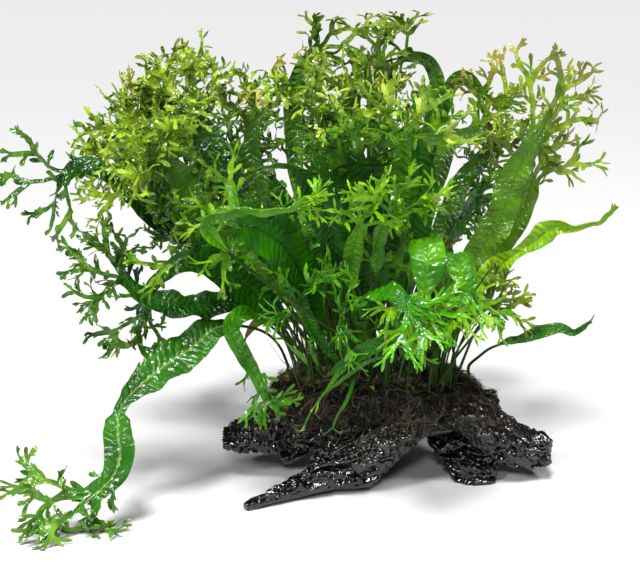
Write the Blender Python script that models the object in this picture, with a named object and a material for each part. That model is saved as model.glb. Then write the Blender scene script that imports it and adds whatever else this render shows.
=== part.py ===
"""Lace-tipped java fern grown on a piece of driftwood, modelled at its real size.

The driftwood stands on a broad heel and three smaller feet. A mat of dark roots caps it, and
four creeping rhizomes lie in the mat. Fifty fronds rise from them: a stalk, a strap-shaped
blade and a crest that forks like an antler. The origin is in the flat under the heel.

Lengths in the tables are millimetres. +X is to the right, -Y is towards the viewer, +Z is up.
"""

import math
import random
from collections import namedtuple

import bmesh
import bpy
from mathutils import Matrix, Quaternion, Vector, noise
from mathutils.bvhtree import BVHTree

MM = 0.001
GAP = 0.3  # clearance between neighbouring pieces

# Driftwood
WOOD_SIDES = 10
WOOD_LUMPS = 0.16  # share of a limb's radius that its lumps reach
LUMP_SCALE = 1.3  # how fast the lumps change round a limb
LUMP_STEP = 0.8  # and from one ring of it to the next

# Root mat
MAT_CENTRE = Vector((-6, -6, 43))
MAT_RADII = Vector((61, 38, 19))
MAT_LUMPS = 1.6

# Rhizomes
RHIZOME_RADIUS = 3.0
RHIZOME_SIDES = 6
RHIZOME_STEP = 13.0
RHIZOME_SUNK = 1.0  # how far its middle lies above the mat

# Fronds
LEAF_THICKNESS = 1.2
STALK_WIDTH = 2.4
STALK_SHARE = 0.34  # share of the frond's length that is bare stalk
FACING_SHARE = 0.65  # the ring that looks where the table says
CREST_ROOT_SHARE = 0.55  # width where the crest starts, as a share of the blade's
ARM_HALF_WIDTH = 1.2
ARM_LIFT = 30  # degrees that an arm may lean out of the crest's plane
TINE_SPREAD = 26
FOOT_RISE = 5.0  # a stalk leaves its rhizome straight up for this far
FOOT_CLEARANCE = 0.5
LOWEST_LEAF = 2.8  # a frond that reaches the ground lies on it
RING_SPACING = 27.0
SWAY_STEP = 0.2
STIFFNESS = (0.4, 2)
MOST_SWAYS = 200

Limb = namedtuple("Limb", "side stations")
# A station is x, y, z, half width and half height; side is the direction of the width.
LIMBS = {
    "trunk": Limb(
        (0, 1, 0),
        (
            (-58, -5, 29, 16, 10),
            (-44, -5, 29, 25, 16),
            (-24, -6, 30, 36, 20),
            (0, -7, 32, 37, 18),
            (20, -8, 38, 33, 14),
            (36, -10, 38, 24, 12),
            (46, -12, 37, 17, 9),
        ),
    ),
    "front_ridge": Limb(
        (0, 1, 0),
        (
            (18, -28, 39, 11, 10),
            (-2, -35, 29, 13, 13),
            (-18, -38, 15, 14, 17),
            (-35, -43, 12, 10, 12),
            (-44, -48, 7, 8, 7),
            (-52, -52, 5, 6, 4.5),
            (-65, -60, 3.4, 4.5, 3.4),
            (-77, -68, 1.6, 2.6, 2.2),
        ),
    ),
    "left_stub": Limb(
        (0, 1, 0),
        (
            (-38, -9, 29, 23, 16),
            (-57, -12, 26, 19, 15),
            (-73, -13, 24, 15, 11),
            (-84, -14, 20.5, 11, 8.5),
            (-91, -14, 20, 6, 5),
        ),
    ),
    "prong": Limb((0, 1, 0), ((-42, -22, 24, 7, 7), (-51, -26, 17, 5, 4.5), (-58, -28, 13, 3, 2.5))),
    "right_arm": Limb(
        (0, 1, 0),
        (
            (22, -12, 38, 22, 11),
            (42, -15, 38, 21, 12),
            (50, -17, 34, 20.5, 11.5),
            (57, -18, 26.5, 20, 12),
            (69, -20, 19, 17, 11),
            (81, -21, 16, 13, 10.5),
            (90, -21, 15, 8, 7.5),
        ),
    ),
    "right_leg": Limb(
        (1, 0, 0),
        (
            (42, -4, 42, 22, 9),
            (44, -8, 26, 23, 7),
            (47, -20, 12, 17, 7),
            (50, -30, -3, 11, 7),
        ),
    ),
    "heel": Limb((1, 0, 0), ((-14, 6, 30, 24, 22), (-13, 7, 14, 20, 20), (-12, 8, -4, 19, 20))),
}
# Where the wood is parted at its forks: lowest and highest corner of each branch's block.
FORKS = {
    "driftwood_left_stub": ((-100, -32.5, -9), (-52, 45, 70)),
    "driftwood_front_spike": ((-95, -90, -9), (-42, -36, 30)),
    "driftwood_right_leg": ((14, -50, -9), (66, 20, 20)),
    "driftwood_right_arm": ((50, -55, -9), (110, 30, 80)),
}

# Where each rhizome creeps over the mat: x and y of the points that it passes.
RHIZOMES = {
    "rhizome_front": ((-45, -22), (-22, -29), (0, -27), (20, -28), (34, -22)),
    "rhizome_middle": ((-58, -8), (-34, -11), (-10, -8), (16, -11), (47, -9)),
    "rhizome_back": ((-48, 6), (-26, 8), (-2, 5), (22, 8), (40, 4)),
    "rhizome_rear": ((-36, 20), (-12, 22), (10, 20), (30, 17)),
}

Frond = namedtuple(
    "Frond",
    "name foot midrib width looks twist arms reach spread young",
    defaults=((0, 25), 0, 3, 30, 50, False),
)
# foot: x, y on the mat. midrib: points that the frond passes, up to where its crest starts.
# looks: where the middle of the blade faces, as degrees to the right of the viewer and up.
# twist: how far the blade turns from end to end. arms, reach, spread: how the crest forks.
FRONDS = (
    # The long low fronds that give the outline, from the left round to the right.
    Frond("frond_trailing", (-56, -8), ((-63, -14, 78), (-78, -22, 88), (-94, -34, 90), (-107, -44, 82),
          (-120, -54, 74), (-132, -62, 66), (-140, -70, 57), (-141, -78, 46), (-139, -85, 36),
          (-142, -90, 27), (-151, -94, 20)), 19, (0, 35), 0, 5, 36, 50),
    Frond("frond_far_left", (-44, -10), ((-56, -12, 78), (-76, -14, 101), (-102, -20, 130), (-126, -26, 149),
          (-137, -30, 163), (-147, -33, 172), (-159, -35, 178), (-168, -36, 173)),
          12, (10, 35), 30, 4, 34, 58),
    Frond("frond_low_left", (-50, -10), ((-57, -8, 76), (-69, -8, 92), (-89, -22, 101), (-106, -34, 102),
          (-122, -42, 105), (-135, -45, 111), (-144, -45, 118)), 15, (0, 35), 20, 4, 30, 66),
    Frond("frond_hanging_left", (-45, -22), ((-54, -29, 80), (-68, -38, 96), (-78, -50, 102), (-83, -58, 97),
          (-77, -62, 84), (-71, -64, 74), (-68, -66, 66)), 11, (20, 20), 40, 3, 13, 30),
    Frond("frond_hanging_lace", (-52, 2), ((-66, 0, 92), (-88, -6, 112), (-112, -12, 120),
          (-127, -22, 112), (-131, -28, 99)), 8, (0, 20), 30, 3, 27, 34),
    Frond("frond_long_right", (38, -9), ((37, -11, 80), (44, -14, 102), (53, -14, 112), (64, -15, 123),
          (78, -18, 134), (89, -20, 143), (99, -20, 142), (109, -20, 145)), 12, (0, 10), 90, 2, 12, 14),
    Frond("frond_low_right", (46, -9), ((50, -15, 68), (57, -19, 75), (68, -22, 79), (81, -24, 83),
          (92, -25, 88), (99, -25, 86)), 9, (0, 40), 120, 2, 10, 20),
    # Upper left: the fronds that carry the great mass of lace.
    Frond("frond_upper_left_1", (-48, 6), ((-60, 8, 80), (-77, 10, 97), (-112, 22, 130), (-135, 30, 154),
          (-148, 34, 165)), 16, (10, 25), 30, 3, 30, 52),
    Frond("frond_upper_left_2", (-42, 7), ((-60, 6, 92), (-83, 8, 120), (-110, 14, 157), (-131, 18, 178),
          (-140, 18, 186)), 17, (-10, 20), -20, 4, 30, 62),
    Frond("frond_upper_left_3", (-36, 8), ((-52, 10, 94), (-77, 13, 126), (-98, 20, 162), (-115, 24, 186),
          (-121, 24, 194)), 17, (15, 25), 20, 4, 40, 48),
    Frond("frond_upper_left_4", (-38, -11), ((-58, -12, 92), (-87, -14, 119), (-110, -20, 149),
          (-125, -25, 166), (-131, -27, 173)), 17, (-15, 35), 20, 4, 30, 66),
    Frond("frond_upper_left_5", (-32, -11), ((-54, -16, 96), (-81, -22, 128), (-101, -32, 158),
          (-111, -38, 174), (-115, -41, 181)), 16, (10, 30), -20, 4, 34, 64),
    Frond("frond_upper_left_6", (-27, -10), ((-48, -4, 98), (-74, -2, 134), (-90, -2, 171), (-100, -2, 192),
          (-103, -2, 198)), 15, (0, 10), 30, 4, 34, 50),
    Frond("frond_upper_left_7", (-30, 8), ((-48, 8, 94), (-67, 10, 131), (-75, 13, 172), (-76, 14, 194)),
          14, (-20, 15), 20, 3, 32, 44),
    Frond("frond_broad_left", (-33, -27), ((-36, -34, 84), (-41, -42, 103), (-48, -56, 126), (-56, -66, 142),
          (-67, -76, 152), (-76, -82, 156)), 26, (15, 30), 0, 3, 24, 62),
    Frond("frond_dark_left", (-43, -15), ((-51, -19, 82), (-64, -26, 98), (-75, -34, 112), (-85, -42, 123),
          (-94, -47, 131), (-100, -50, 138)), 21, (10, 30), 0, 3, 24, 66),
    Frond("frond_near_strap", (-13, -28), ((-20, -48, 84), (-46, -76, 110), (-80, -90, 140),
          (-93, -93, 155), (-86, -95, 164), (-70, -97, 164), (-54, -98, 165)), 7, (0, 30), 0, 2, 14, 26),
    # Along the top, left to right.
    Frond("frond_top_curl", (-20, 7), ((-34, 6, 98), (-48, 9, 150), (-53, 12, 191), (-53, 14, 210),
          (-48, 15, 225), (-39, 15, 236)), 10, (0, 5), 20, 3, 20, 44),
    Frond("frond_top_lace", (-15, -8), ((-26, -4, 98), (-34, 0, 143), (-35, 0, 180), (-33, 0, 195)),
          17, (5, 10), 15, 4, 40, 60),
    Frond("frond_top_back", (-12, 6), ((-20, 16, 99), (-24, 30, 149), (-21, 40, 188), (-18, 42, 205)),
          15, (-20, 5), 20, 3, 30, 55),
    Frond("frond_spear", (-3, -8), ((-6, 2, 100), (-7, 6, 150), (-8, 6, 192), (-12, 6, 225)), 6, (0, 0), 40,
          2, 12, 10),
    Frond("frond_top_slim", (2, 6), ((-2, 8, 98), (-1, 9, 135), (-3, 14, 174), (-4, 19, 210), (-5, 20, 233)),
          8, (0, 0), 20, 3, 19, 30),
    Frond("frond_top_antler", (10, 6), ((11, 10, 97), (14, 15, 140), (22, 22, 179), (27, 24, 203),
          (29, 24, 218), (24, 23, 228), (14, 22, 230)), 9, (0, 5), 0, 4, 21, 74),
    Frond("frond_top_arch", (17, 8), ((18, 14, 110), (22, 22, 160), (29, 29, 192), (34, 30, 209),
          (41, 29, 219), (48, 28, 218), (53, 26, 209)), 8, (0, 10), 40, 3, 18, 36),
    Frond("frond_lime_crest", (4, -9), ((0, -16, 101), (2, -19, 146), (4, -22, 172), (5, -25, 188)),
          16, (-5, 10), 10, 4, 36, 68, True),
    # Right: strap blades that lean out and fork at their ends.
    Frond("frond_right_crest", (23, 8), ((21, 12, 92), (22, 17, 116), (32, 22, 134), (40, 26, 150),
          (48, 30, 164), (62, 34, 180)), 12, (0, 15), 20, 4, 46, 56),
    Frond("frond_right_curl", (17, -11), ((18, -4, 98), (22, 2, 145), (28, 4, 168), (34, 8, 183),
          (42, 10, 188), (50, 12, 190)), 10, (-10, 10), 60, 2, 15, 32),
    Frond("frond_right_tall", (26, -10), ((28, -6, 84), (33, -4, 99), (47, -4, 120), (60, -2, 141),
          (67, 2, 158), (72, 5, 173), (80, 6, 186)), 17, (10, 15), 10, 4, 50, 30),
    Frond("frond_right_lace", (31, 6), ((34, 8, 82), (43, 10, 96), (61, 14, 120), (76, 18, 145),
          (81, 20, 162)), 14, (20, 20), 0, 4, 33, 42),
    Frond("frond_right_side", (32, -10), ((36, -14, 84), (45, -17, 94), (54, -18, 99)), 9, (0, 30), 40,
          3, 15, 30),
    # Broad blades in the middle that face the viewer.
    Frond("frond_oval", (-28, -28), ((-33, -36, 84), (-35, -43, 108), (-33, -58, 142), (-38, -67, 163),
          (-46, -73, 176), (-55, -77, 184)), 17, (-10, 25), 10, 2, 11, 22),
    Frond("frond_broad_fold", (-9, -8), ((-8, -12, 90), (-7, -17, 108), (-6, -26, 139), (-9, -39, 168),
          (-14, -48, 182)), 24, (0, 30), 0, 3, 24, 44),
    Frond("frond_broad_middle", (-21, -10), ((-23, -13, 90), (-26, -18, 108), (-29, -27, 139),
          (-28, -37, 163), (-26, -43, 176)), 22, (-15, 30), 0, 3, 22, 50),
    Frond("frond_broad_right", (11, -11), ((9, -9, 95), (11, -8, 120), (14, -8, 145), (17, -9, 166),
          (14, -11, 182)), 20, (5, 15), -15, 3, 24, 42),
    # Young bright fronds at the front.
    Frond("frond_young_leaf_1", (-23, -20), ((-22, -36, 88), (-22, -46, 109), (-22, -57, 131),
          (-20, -66, 146), (-17, -70, 154)), 12, (0, 20), 30, 3, 12, 46, True),
    Frond("frond_young_leaf_2", (7, -27), ((-4, -37, 88), (-9, -45, 108), (-11, -56, 135), (-9, -63, 150),
          (-4, -66, 156)), 11, (20, 25), 30, 4, 24, 62, True),
    Frond("frond_young_arch_1", (14, -28), ((11, -32, 90), (9, -37, 105), (12, -48, 130), (15, -59, 144),
          (16, -71, 142), (15, -79, 132), (14, -82, 121)), 20, (0, 55), 0, 4, 24, 50, True),
    Frond("frond_young_arch_2", (26, -26), ((26, -30, 90), (27, -35, 104), (30, -45, 126), (32, -57, 136),
          (35, -67, 131), (36, -72, 120)), 18, (15, 55), 0, 4, 26, 50, True),
    Frond("frond_young_low", (2, -27), ((-10, -39, 86), (-18, -50, 102), (-13, -64, 114), (-6, -73, 119),
          (0, -80, 119), (7, -85, 113)), 12, (10, 45), 20, 4, 26, 48, True),
    Frond("frond_low_front", (-39, -25), ((-35, -42, 66), (-27, -51, 73), (-19, -58, 82), (-11, -64, 88),
          (-3, -68, 92), (5, -71, 95)), 8, (0, 30), 40, 2, 10, 14, True),
    Frond("frond_star_1", (-23, -29), ((-34, -38, 80), (-42, -46, 94), (-46, -58, 109), (-47, -66, 117)),
          7, (-10, 40), 0, 4, 22, 80, True),
    Frond("frond_star_2", (-18, -29), ((-25, -40, 80), (-31, -50, 91), (-35, -62, 100), (-37, -69, 104)),
          7, (10, 40), 0, 4, 20, 80, True),
    Frond("frond_star_3", (-30, -19), ((-37, -30, 86), (-40, -41, 103), (-42, -54, 123), (-42, -62, 134)),
          8, (0, 30), 0, 4, 24, 74, True),
    Frond("frond_star_4", (-4, -19), ((-11, -33, 86), (-15, -44, 102), (-14, -58, 121), (-16, -66, 130)),
          8, (0, 40), 0, 4, 26, 78),
    # The side away from the viewer.
    Frond("frond_rear_1", (-36, 20), ((-58, 36, 92), (-92, 58, 112), (-116, 70, 118)), 18, (200, 40), 0,
          3, 28, 58),
    Frond("frond_rear_2", (-28, 20), ((-44, 40, 110), (-70, 64, 150), (-88, 78, 168)), 20, (200, 30), 0,
          4, 32, 60),
    Frond("frond_rear_3", (-16, 21), ((-20, 44, 118), (-32, 74, 160), (-42, 92, 178)), 19, (190, 25), 0,
          4, 32, 60),
    Frond("frond_rear_4", (-7, 21), ((-8, 60, 96), (-12, 96, 106), (-14, 116, 98)), 18, (180, 55), 0,
          3, 28, 55),
    Frond("frond_rear_5", (1, 21), ((6, 44, 120), (12, 78, 160), (14, 98, 172)), 20, (170, 30), 0,
          4, 32, 60),
    Frond("frond_rear_6", (16, 19), ((30, 44, 108), (50, 74, 134), (60, 92, 140)), 18, (160, 35), 0,
          4, 30, 58),
)


def colour(name, rgb, roughness):
    """A plain finish: a colour and how matt it is."""
    material = bpy.data.materials.new(name)
    material.use_nodes = True
    shader = material.node_tree.nodes["Principled BSDF"]
    shader.inputs["Base Color"].default_value = (*rgb, 1)
    shader.inputs["Roughness"].default_value = roughness
    material.diffuse_color = (*rgb, 1)
    return material


def collection(name):
    made = bpy.data.collections.new(name)
    bpy.context.scene.collection.children.link(made)
    return made


def add_object(name, bm, into, material=None):
    """Turns a bmesh in millimetres into an object in metres."""
    bmesh.ops.scale(bm, vec=(MM, MM, MM), verts=bm.verts)
    mesh = bpy.data.meshes.new(name)
    bm.to_mesh(mesh)
    bm.free()
    made = bpy.data.objects.new(name, mesh)
    into.objects.link(made)
    if material:
        mesh.materials.append(material)
    return made


def hide(helper):
    helper.hide_render = True
    helper.display_type = "WIRE"
    return helper


def mesh_now(source):
    """A bmesh, in millimetres, of an object as its modifiers leave it."""
    graph = bpy.context.evaluated_depsgraph_get()
    evaluated = source.evaluated_get(graph)
    bm = bmesh.new()
    bm.from_mesh(evaluated.to_mesh())
    evaluated.to_mesh_clear()
    bmesh.ops.transform(bm, matrix=source.matrix_world, verts=bm.verts)
    bmesh.ops.scale(bm, vec=(1 / MM, 1 / MM, 1 / MM), verts=bm.verts)
    return bm


def tree_of(source):
    """A search tree, in millimetres, over an object's surface."""
    bm = mesh_now(source)
    tree = BVHTree.FromBMesh(bm)
    bm.free()
    return tree


def top_of(trees, x, y):
    """Height of the highest surface over a point of the ground."""
    hits = [tree.ray_cast(Vector((x, y, 200)), Vector((0, 0, -1)))[0] for tree in trees]
    return max((hit.z for hit in hits if hit), default=0.0)


def boolean(target, operation, other):
    """Cuts, joins or clips. The exact solver loses most of the mat in its chain of cuts."""
    modifier = target.modifiers.new(f"{operation.lower()} {other.name}", "BOOLEAN")
    modifier.operation = operation
    modifier.object = other
    modifier.solver = "MANIFOLD"


# ---------------------------------------------------------------- tubes of changing section


def ring_frame(centre, along, side):
    """A matrix whose X is the width, Y the height and Z the way along the tube."""
    along = along.normalized()
    wide = (side - along * side.dot(along)).normalized()
    high = along.cross(wide)
    return Matrix.Translation(centre) @ Matrix((wide, high, along)).transposed().to_4x4()


def loft(stations, side, sides, lumps, seed, grow=0.0):
    """A closed tube through rings of changing width and height, with lumps on its surface."""
    bm = bmesh.new()
    centres = [Vector(station[:3]) for station in stations]
    last = len(stations) - 1
    rings = []
    for i, station in enumerate(stations):
        along = (centres[min(i + 1, last)] - centres[max(i - 1, 0)]).normalized()
        end = i in (0, last)
        middle = centres[i] + along * (grow * ((i == last) - (i == 0)))
        size = Matrix.Diagonal((station[3] + grow, station[4] + grow, 1, 1))
        frame = ring_frame(middle, along, Vector(side)) @ size
        made = bmesh.ops.create_circle(bm, cap_ends=end, segments=sides, radius=1, matrix=frame)
        for k, vertex in enumerate(made["verts"]):
            round_angle = math.tau * k / sides
            spot = Vector((math.cos(round_angle), math.sin(round_angle), i * LUMP_STEP + seed))
            vertex.co = middle.lerp(vertex.co, 1 + lumps * noise.noise(spot * LUMP_SCALE))
        rings.append({e for v in made["verts"] for e in v.link_edges})
    for lower, upper in zip(rings, rings[1:]):
        bmesh.ops.bridge_loops(bm, edges=list(lower | upper))
    bmesh.ops.triangulate(bm, faces=bm.faces, quad_method="FIXED")
    bmesh.ops.recalc_face_normals(bm, faces=bm.faces)
    return bm


def block(low, high, grow=0.0):
    """A box between two corners."""
    low, high = Vector(low) - Vector((grow,) * 3), Vector(high) + Vector((grow,) * 3)
    bm = bmesh.new()
    bmesh.ops.create_cube(bm, size=1)
    bmesh.ops.scale(bm, vec=high - low, verts=bm.verts)
    bmesh.ops.translate(bm, vec=(low + high) / 2, verts=bm.verts)
    return bm


# ---------------------------------------------------------------- driftwood


def make_limb(name, grow=0.0):
    seed = list(LIMBS).index(name) * 7.3
    return loft(LIMBS[name].stations, LIMBS[name].side, WOOD_SIDES, WOOD_LUMPS, seed, grow)


def make_whole_wood(helpers):
    """All the limbs as one solid, sawn flat where it stands on the ground."""
    limbs = [hide(add_object(name, make_limb(name), helpers)) for name in LIMBS]
    whole = limbs[0]
    for limb in limbs[1:]:
        boolean(whole, "UNION", limb)
    ground = hide(add_object("ground_cut", block((-150, -150, -40), (150, 150, 0)), helpers))
    boolean(whole, "DIFFERENCE", ground)
    return whole


def make_driftwood(whole, parts, helpers, material):
    """The wood's body and its branches, parted at the forks with a gap between them."""
    made = []
    body = add_object("driftwood_body", mesh_now(whole), parts, material)
    made.append(body)
    leg_room = hide(add_object("leg_room", block(*FORKS["driftwood_right_leg"], grow=GAP), helpers))
    for name, corners in FORKS.items():
        room = leg_room
        if name != "driftwood_right_leg":
            room = hide(add_object(f"{name}_room", block(*corners, grow=GAP), helpers))
        boolean(body, "DIFFERENCE", room)
        branch = add_object(name, mesh_now(whole), parts, material)
        boolean(branch, "INTERSECT", hide(add_object(f"{name}_block", block(*corners), helpers)))
        made.append(branch)
        if name == "driftwood_right_arm":
            boolean(branch, "DIFFERENCE", leg_room)
    return made


# ---------------------------------------------------------------- root mat and rhizomes


def make_root_mat(parts, helpers, material):
    bm = bmesh.new()
    bmesh.ops.create_uvsphere(bm, u_segments=18, v_segments=8, radius=1)
    bmesh.ops.scale(bm, vec=MAT_RADII, verts=bm.verts)
    bmesh.ops.translate(bm, vec=MAT_CENTRE, verts=bm.verts)
    for vertex in bm.verts:
        vertex.co.z += MAT_LUMPS * noise.noise(vertex.co * 0.1)
    mat = add_object("root_mat", bm, parts, material)
    for name in LIMBS:
        room = make_limb(name, grow=1.5 * GAP)
        boolean(mat, "DIFFERENCE", hide(add_object(f"{name}_room", room, helpers)))
    return mat


def through(points, step):
    """Points at about this step along a smooth curve through the given points."""
    found = []
    for i in range(len(points) - 1):
        before = points[max(i - 1, 0)]
        start, end = points[i], points[i + 1]
        after = points[min(i + 2, len(points) - 1)]
        count = max(1, round((end - start).length / step))
        for k in range(count):
            t = k / count
            found.append(0.5 * (2 * start + (end - before) * t
                                + (2 * before - 5 * start + 4 * end - after) * t * t
                                + (3 * start - before - 3 * end + after) * t ** 3))
    found.append(points[-1].copy())
    return found


def make_rhizome(course, grounds, seed, grow=0.0):
    """A knobbly creeping stem that lies half in the mat."""
    path = through([Vector((x, y, 0)) for x, y in course], RHIZOME_STEP)
    stations = []
    for i, point in enumerate(path):
        point.z = top_of(grounds, point.x, point.y) + RHIZOME_SUNK
        radius = RHIZOME_RADIUS * (0.6 if i in (0, len(path) - 1) else 1.0)
        stations.append((*point, radius, radius))
    return loft(stations, (0, 1, 0), RHIZOME_SIDES, 0.3, seed, grow)


def make_rhizomes(standing, parts, helpers, material):
    grounds = [tree_of(piece) for piece in standing]
    made = []
    for i, (name, course) in enumerate(RHIZOMES.items()):
        made.append(add_object(name, make_rhizome(course, grounds, i * 3.1), parts, material))
        groove = make_rhizome(course, grounds, i * 3.1, grow=1.5 * GAP)
        cutter = hide(add_object(f"{name}_groove", groove, helpers))
        for piece in standing:
            boolean(piece, "DIFFERENCE", cutter)
    return made


# ---------------------------------------------------------------- fronds


def blade_half_width(frond, share):
    """Half the frond's width at a share of its length: bare stalk, full blade, narrower crest root."""
    stalk = STALK_WIDTH / 2
    if share <= STALK_SHARE:
        return stalk
    up = (share - STALK_SHARE) / (1 - STALK_SHARE)
    full = math.sin(math.pi * min(1.0, up * 0.92 + 0.02)) ** 0.6
    root = CREST_ROOT_SHARE * min(1.0, up * 2)
    return stalk + (frond.width / 2 - stalk) * max(full, root)


def frond_path(frond, foot, sway, stiffness):
    """Points along the midrib. Sway moves the tip; a stiffer stalk follows it less."""
    points = [foot, foot + Vector((0, 0, FOOT_RISE))] + [Vector(p) for p in frond.midrib]
    last = len(points) - 1
    for i in range(2, last + 1):
        points[i] = points[i] + sway * (i / last) ** stiffness
    return through(points, RING_SPACING)


def tangents(path):
    last = len(path) - 1
    found = [(path[min(i + 1, last)] - path[max(i - 1, 0)]).normalized() for i in range(last + 1)]
    found[0] = Vector((0, 0, 1))
    return found


def on_ground(point):
    return Vector((point.x, point.y, max(point.z, LOWEST_LEAF)))


def ends_of(edge, across):
    """The edge's two vertices, the one towards -across first."""
    return sorted(edge.verts, key=lambda v: v.co.dot(across))


def grow_ribbon(bm, edge, centre, across, half):
    """One more step of a ribbon, keeping its left and right sides apart."""
    low, high = ends_of(edge, across)
    grown = bmesh.ops.extrude_edge_only(bm, edges=[edge])["geom"]
    new_edge = next(g for g in grown if isinstance(g, bmesh.types.BMEdge))
    for vertex in new_edge.verts:
        joined = {e.other_vert(vertex) for e in vertex.link_edges}
        side = -1 if low in joined else 1
        vertex.co = on_ground(centre + across * (half * side))
    return new_edge


def widths_across(frond, along):
    """The direction of the blade's width at each ring, so that its middle faces where it should."""
    across = [Vector((1, 0, 0))]
    for before, after in zip(along, along[1:]):
        carried = before.rotation_difference(after) @ across[-1]
        across.append((carried - after * carried.dot(after)).normalized())
    middle = round(FACING_SHARE * (len(along) - 1))
    to_right, up = (math.radians(angle) for angle in frond.looks)
    looks = Vector((math.sin(to_right) * math.cos(up), -math.cos(to_right) * math.cos(up), math.sin(up)))
    wanted = along[middle].cross(looks).normalized()
    now = across[middle]
    turn = math.atan2(now.cross(wanted).dot(along[middle]), now.dot(wanted))
    twist = math.radians(frond.twist)
    turned = [turn + twist * (i - middle) / (len(along) - 1) for i in range(len(along))]
    return [Quaternion(way, angle) @ wide for way, angle, wide in zip(along, turned, across)]


def make_frond(frond, foot, sway, stiffness, grow=0.0):
    """The frond as one closed solid. grow makes it stouter all round, to test its clearance."""
    bm = bmesh.new()
    path = frond_path(frond, foot, sway, stiffness)
    along = tangents(path)
    across = widths_across(frond, along)
    half = STALK_WIDTH / 2 + grow
    edge = bm.edges.new([bm.verts.new(path[0] - across[0] * half), bm.verts.new(path[0] + across[0] * half)])
    last = len(path) - 1
    for i in range(1, last + 1):
        half = blade_half_width(frond, i / last) + grow
        edge = grow_ribbon(bm, edge, path[i], across[i], half)
    make_crest(bm, edge, along[last], across[last], frond, half, grow)
    bmesh.ops.triangulate(bm, faces=bm.faces)
    give_thickness(bm, grow)
    return bm


def fan(count, spread):
    """Angles in radians, evenly spread from -spread to +spread degrees."""
    if count == 1:
        return [0.0]
    return [math.radians(spread * (2 * k / (count - 1) - 1)) for k in range(count)]


def make_crest(bm, edge, along, across, frond, half, grow):
    """Splits the blade's end into arms and each arm into two pointed tines, like an antler."""
    draws = random.Random(frond.name)
    normal = across.cross(along).normalized()
    arm_half = max(ARM_HALF_WIDTH, 0.75 * half / frond.arms) + grow
    for arm_edge, angle in zip(split_edge(bm, edge, frond.arms, across), fan(frond.arms, frond.spread)):
        turned = Quaternion(normal, -angle)
        lift = Quaternion(turned @ across, math.radians(draws.uniform(-ARM_LIFT, ARM_LIFT)))
        way, wide = lift @ turned @ along, turned @ across
        start = (arm_edge.verts[0].co + arm_edge.verts[1].co) / 2
        reach = frond.reach * draws.uniform(0.8, 1.1)
        fork = start + way * reach * 0.6
        arm_edge = grow_ribbon(bm, arm_edge, fork, wide, arm_half)
        face = wide.cross(way).normalized()
        for tine_edge, tine_angle in zip(split_edge(bm, arm_edge, 2, wide), fan(2, TINE_SPREAD)):
            tine_turn = Quaternion(face, -tine_angle)
            tine_start = (tine_edge.verts[0].co + tine_edge.verts[1].co) / 2
            tip = on_ground(tine_start + tine_turn @ way * reach * draws.uniform(0.35, 0.5))
            tip_edge = grow_ribbon(bm, tine_edge, tip, tine_turn @ wide, arm_half)
            bmesh.ops.pointmerge(bm, verts=list(tip_edge.verts), merge_co=tip)


def split_edge(bm, edge, count, across):
    """Cuts the ribbon's end into this many edges, in order along across."""
    if count == 1:
        return [edge]
    cut = bmesh.ops.subdivide_edges(bm, edges=[edge], cuts=count - 1)
    row = [g for g in cut["geom_split"] if isinstance(g, bmesh.types.BMEdge)]
    return sorted(row, key=lambda e: (e.verts[0].co + e.verts[1].co).dot(across))


def give_thickness(bm, grow):
    """Gives the open ribbon its thickness, half to each side."""
    bmesh.ops.recalc_face_normals(bm, faces=bm.faces)
    bm.normal_update()
    thickness = LEAF_THICKNESS + 2 * grow
    for vertex in bm.verts:
        vertex.co += vertex.normal * (thickness / 2)
    bmesh.ops.solidify(bm, geom=list(bm.faces), thickness=thickness)
    bmesh.ops.recalc_face_normals(bm, faces=bm.faces)


def foot_on(grounds, x, y):
    """Where a stalk stands: just clear of the highest thing under its foot."""
    near = (-STALK_WIDTH / 2, 0, STALK_WIDTH / 2)
    highest = max(top_of(grounds, x + dx, y + dy) for dx in near for dy in near)
    return Vector((x, y, highest + FOOT_CLEARANCE))


def settle(frond, grounds, placed):
    """Sways the frond, a little further each try, until it is clear of what is already there."""
    foot = foot_on(grounds, *frond.foot)
    draws = random.Random(f"sway {frond.name}")
    for attempt in range(MOST_SWAYS):
        way = Vector((draws.gauss(0, 1), draws.gauss(0, 1), draws.gauss(0, 0.7)))
        sway = way.normalized() * (SWAY_STEP * attempt)
        stiffness = draws.uniform(*STIFFNESS)
        stout = make_frond(frond, foot, sway, stiffness, GAP)
        tree = BVHTree.FromBMesh(stout)
        stout.free()
        if not any(tree.overlap(other) for other in placed):
            return make_frond(frond, foot, sway, stiffness), attempt, sway.length
    raise RuntimeError(f"{frond.name} finds no clear place")


def make_fronds(standing, parts, mature, young):
    """Every frond in turn, each clear of the wood, the mat and the fronds before it."""
    trees = [tree_of(piece) for piece in standing]
    grounds = list(trees)
    for frond in FRONDS:
        bm, attempt, sway = settle(frond, grounds, trees)
        print(f"{frond.name}: {attempt} tries, swayed {sway:.0f} mm, {len(bm.faces)} faces")
        trees.append(BVHTree.FromBMesh(bm))
        add_object(frond.name, bm, parts, young if frond.young else mature)


def main():
    for old in list(bpy.data.objects):
        bpy.data.objects.remove(old)
    parts = collection("java fern on driftwood")
    helpers = collection("cutters")
    bark = colour("wet driftwood", (0.028, 0.02, 0.017), 0.3)
    roots = colour("root mat", (0.03, 0.022, 0.012), 0.7)
    stem = colour("rhizome", (0.19, 0.2, 0.04), 0.45)
    mature = colour("mature frond", (0.06, 0.17, 0.02), 0.3)
    young = colour("young frond", (0.2, 0.42, 0.03), 0.3)
    whole = make_whole_wood(helpers)
    standing = make_driftwood(whole, parts, helpers, bark)
    standing.append(make_root_mat(parts, helpers, roots))
    standing += make_rhizomes(standing, parts, helpers, stem)
    make_fronds(standing, parts, mature, young)


main()
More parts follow.
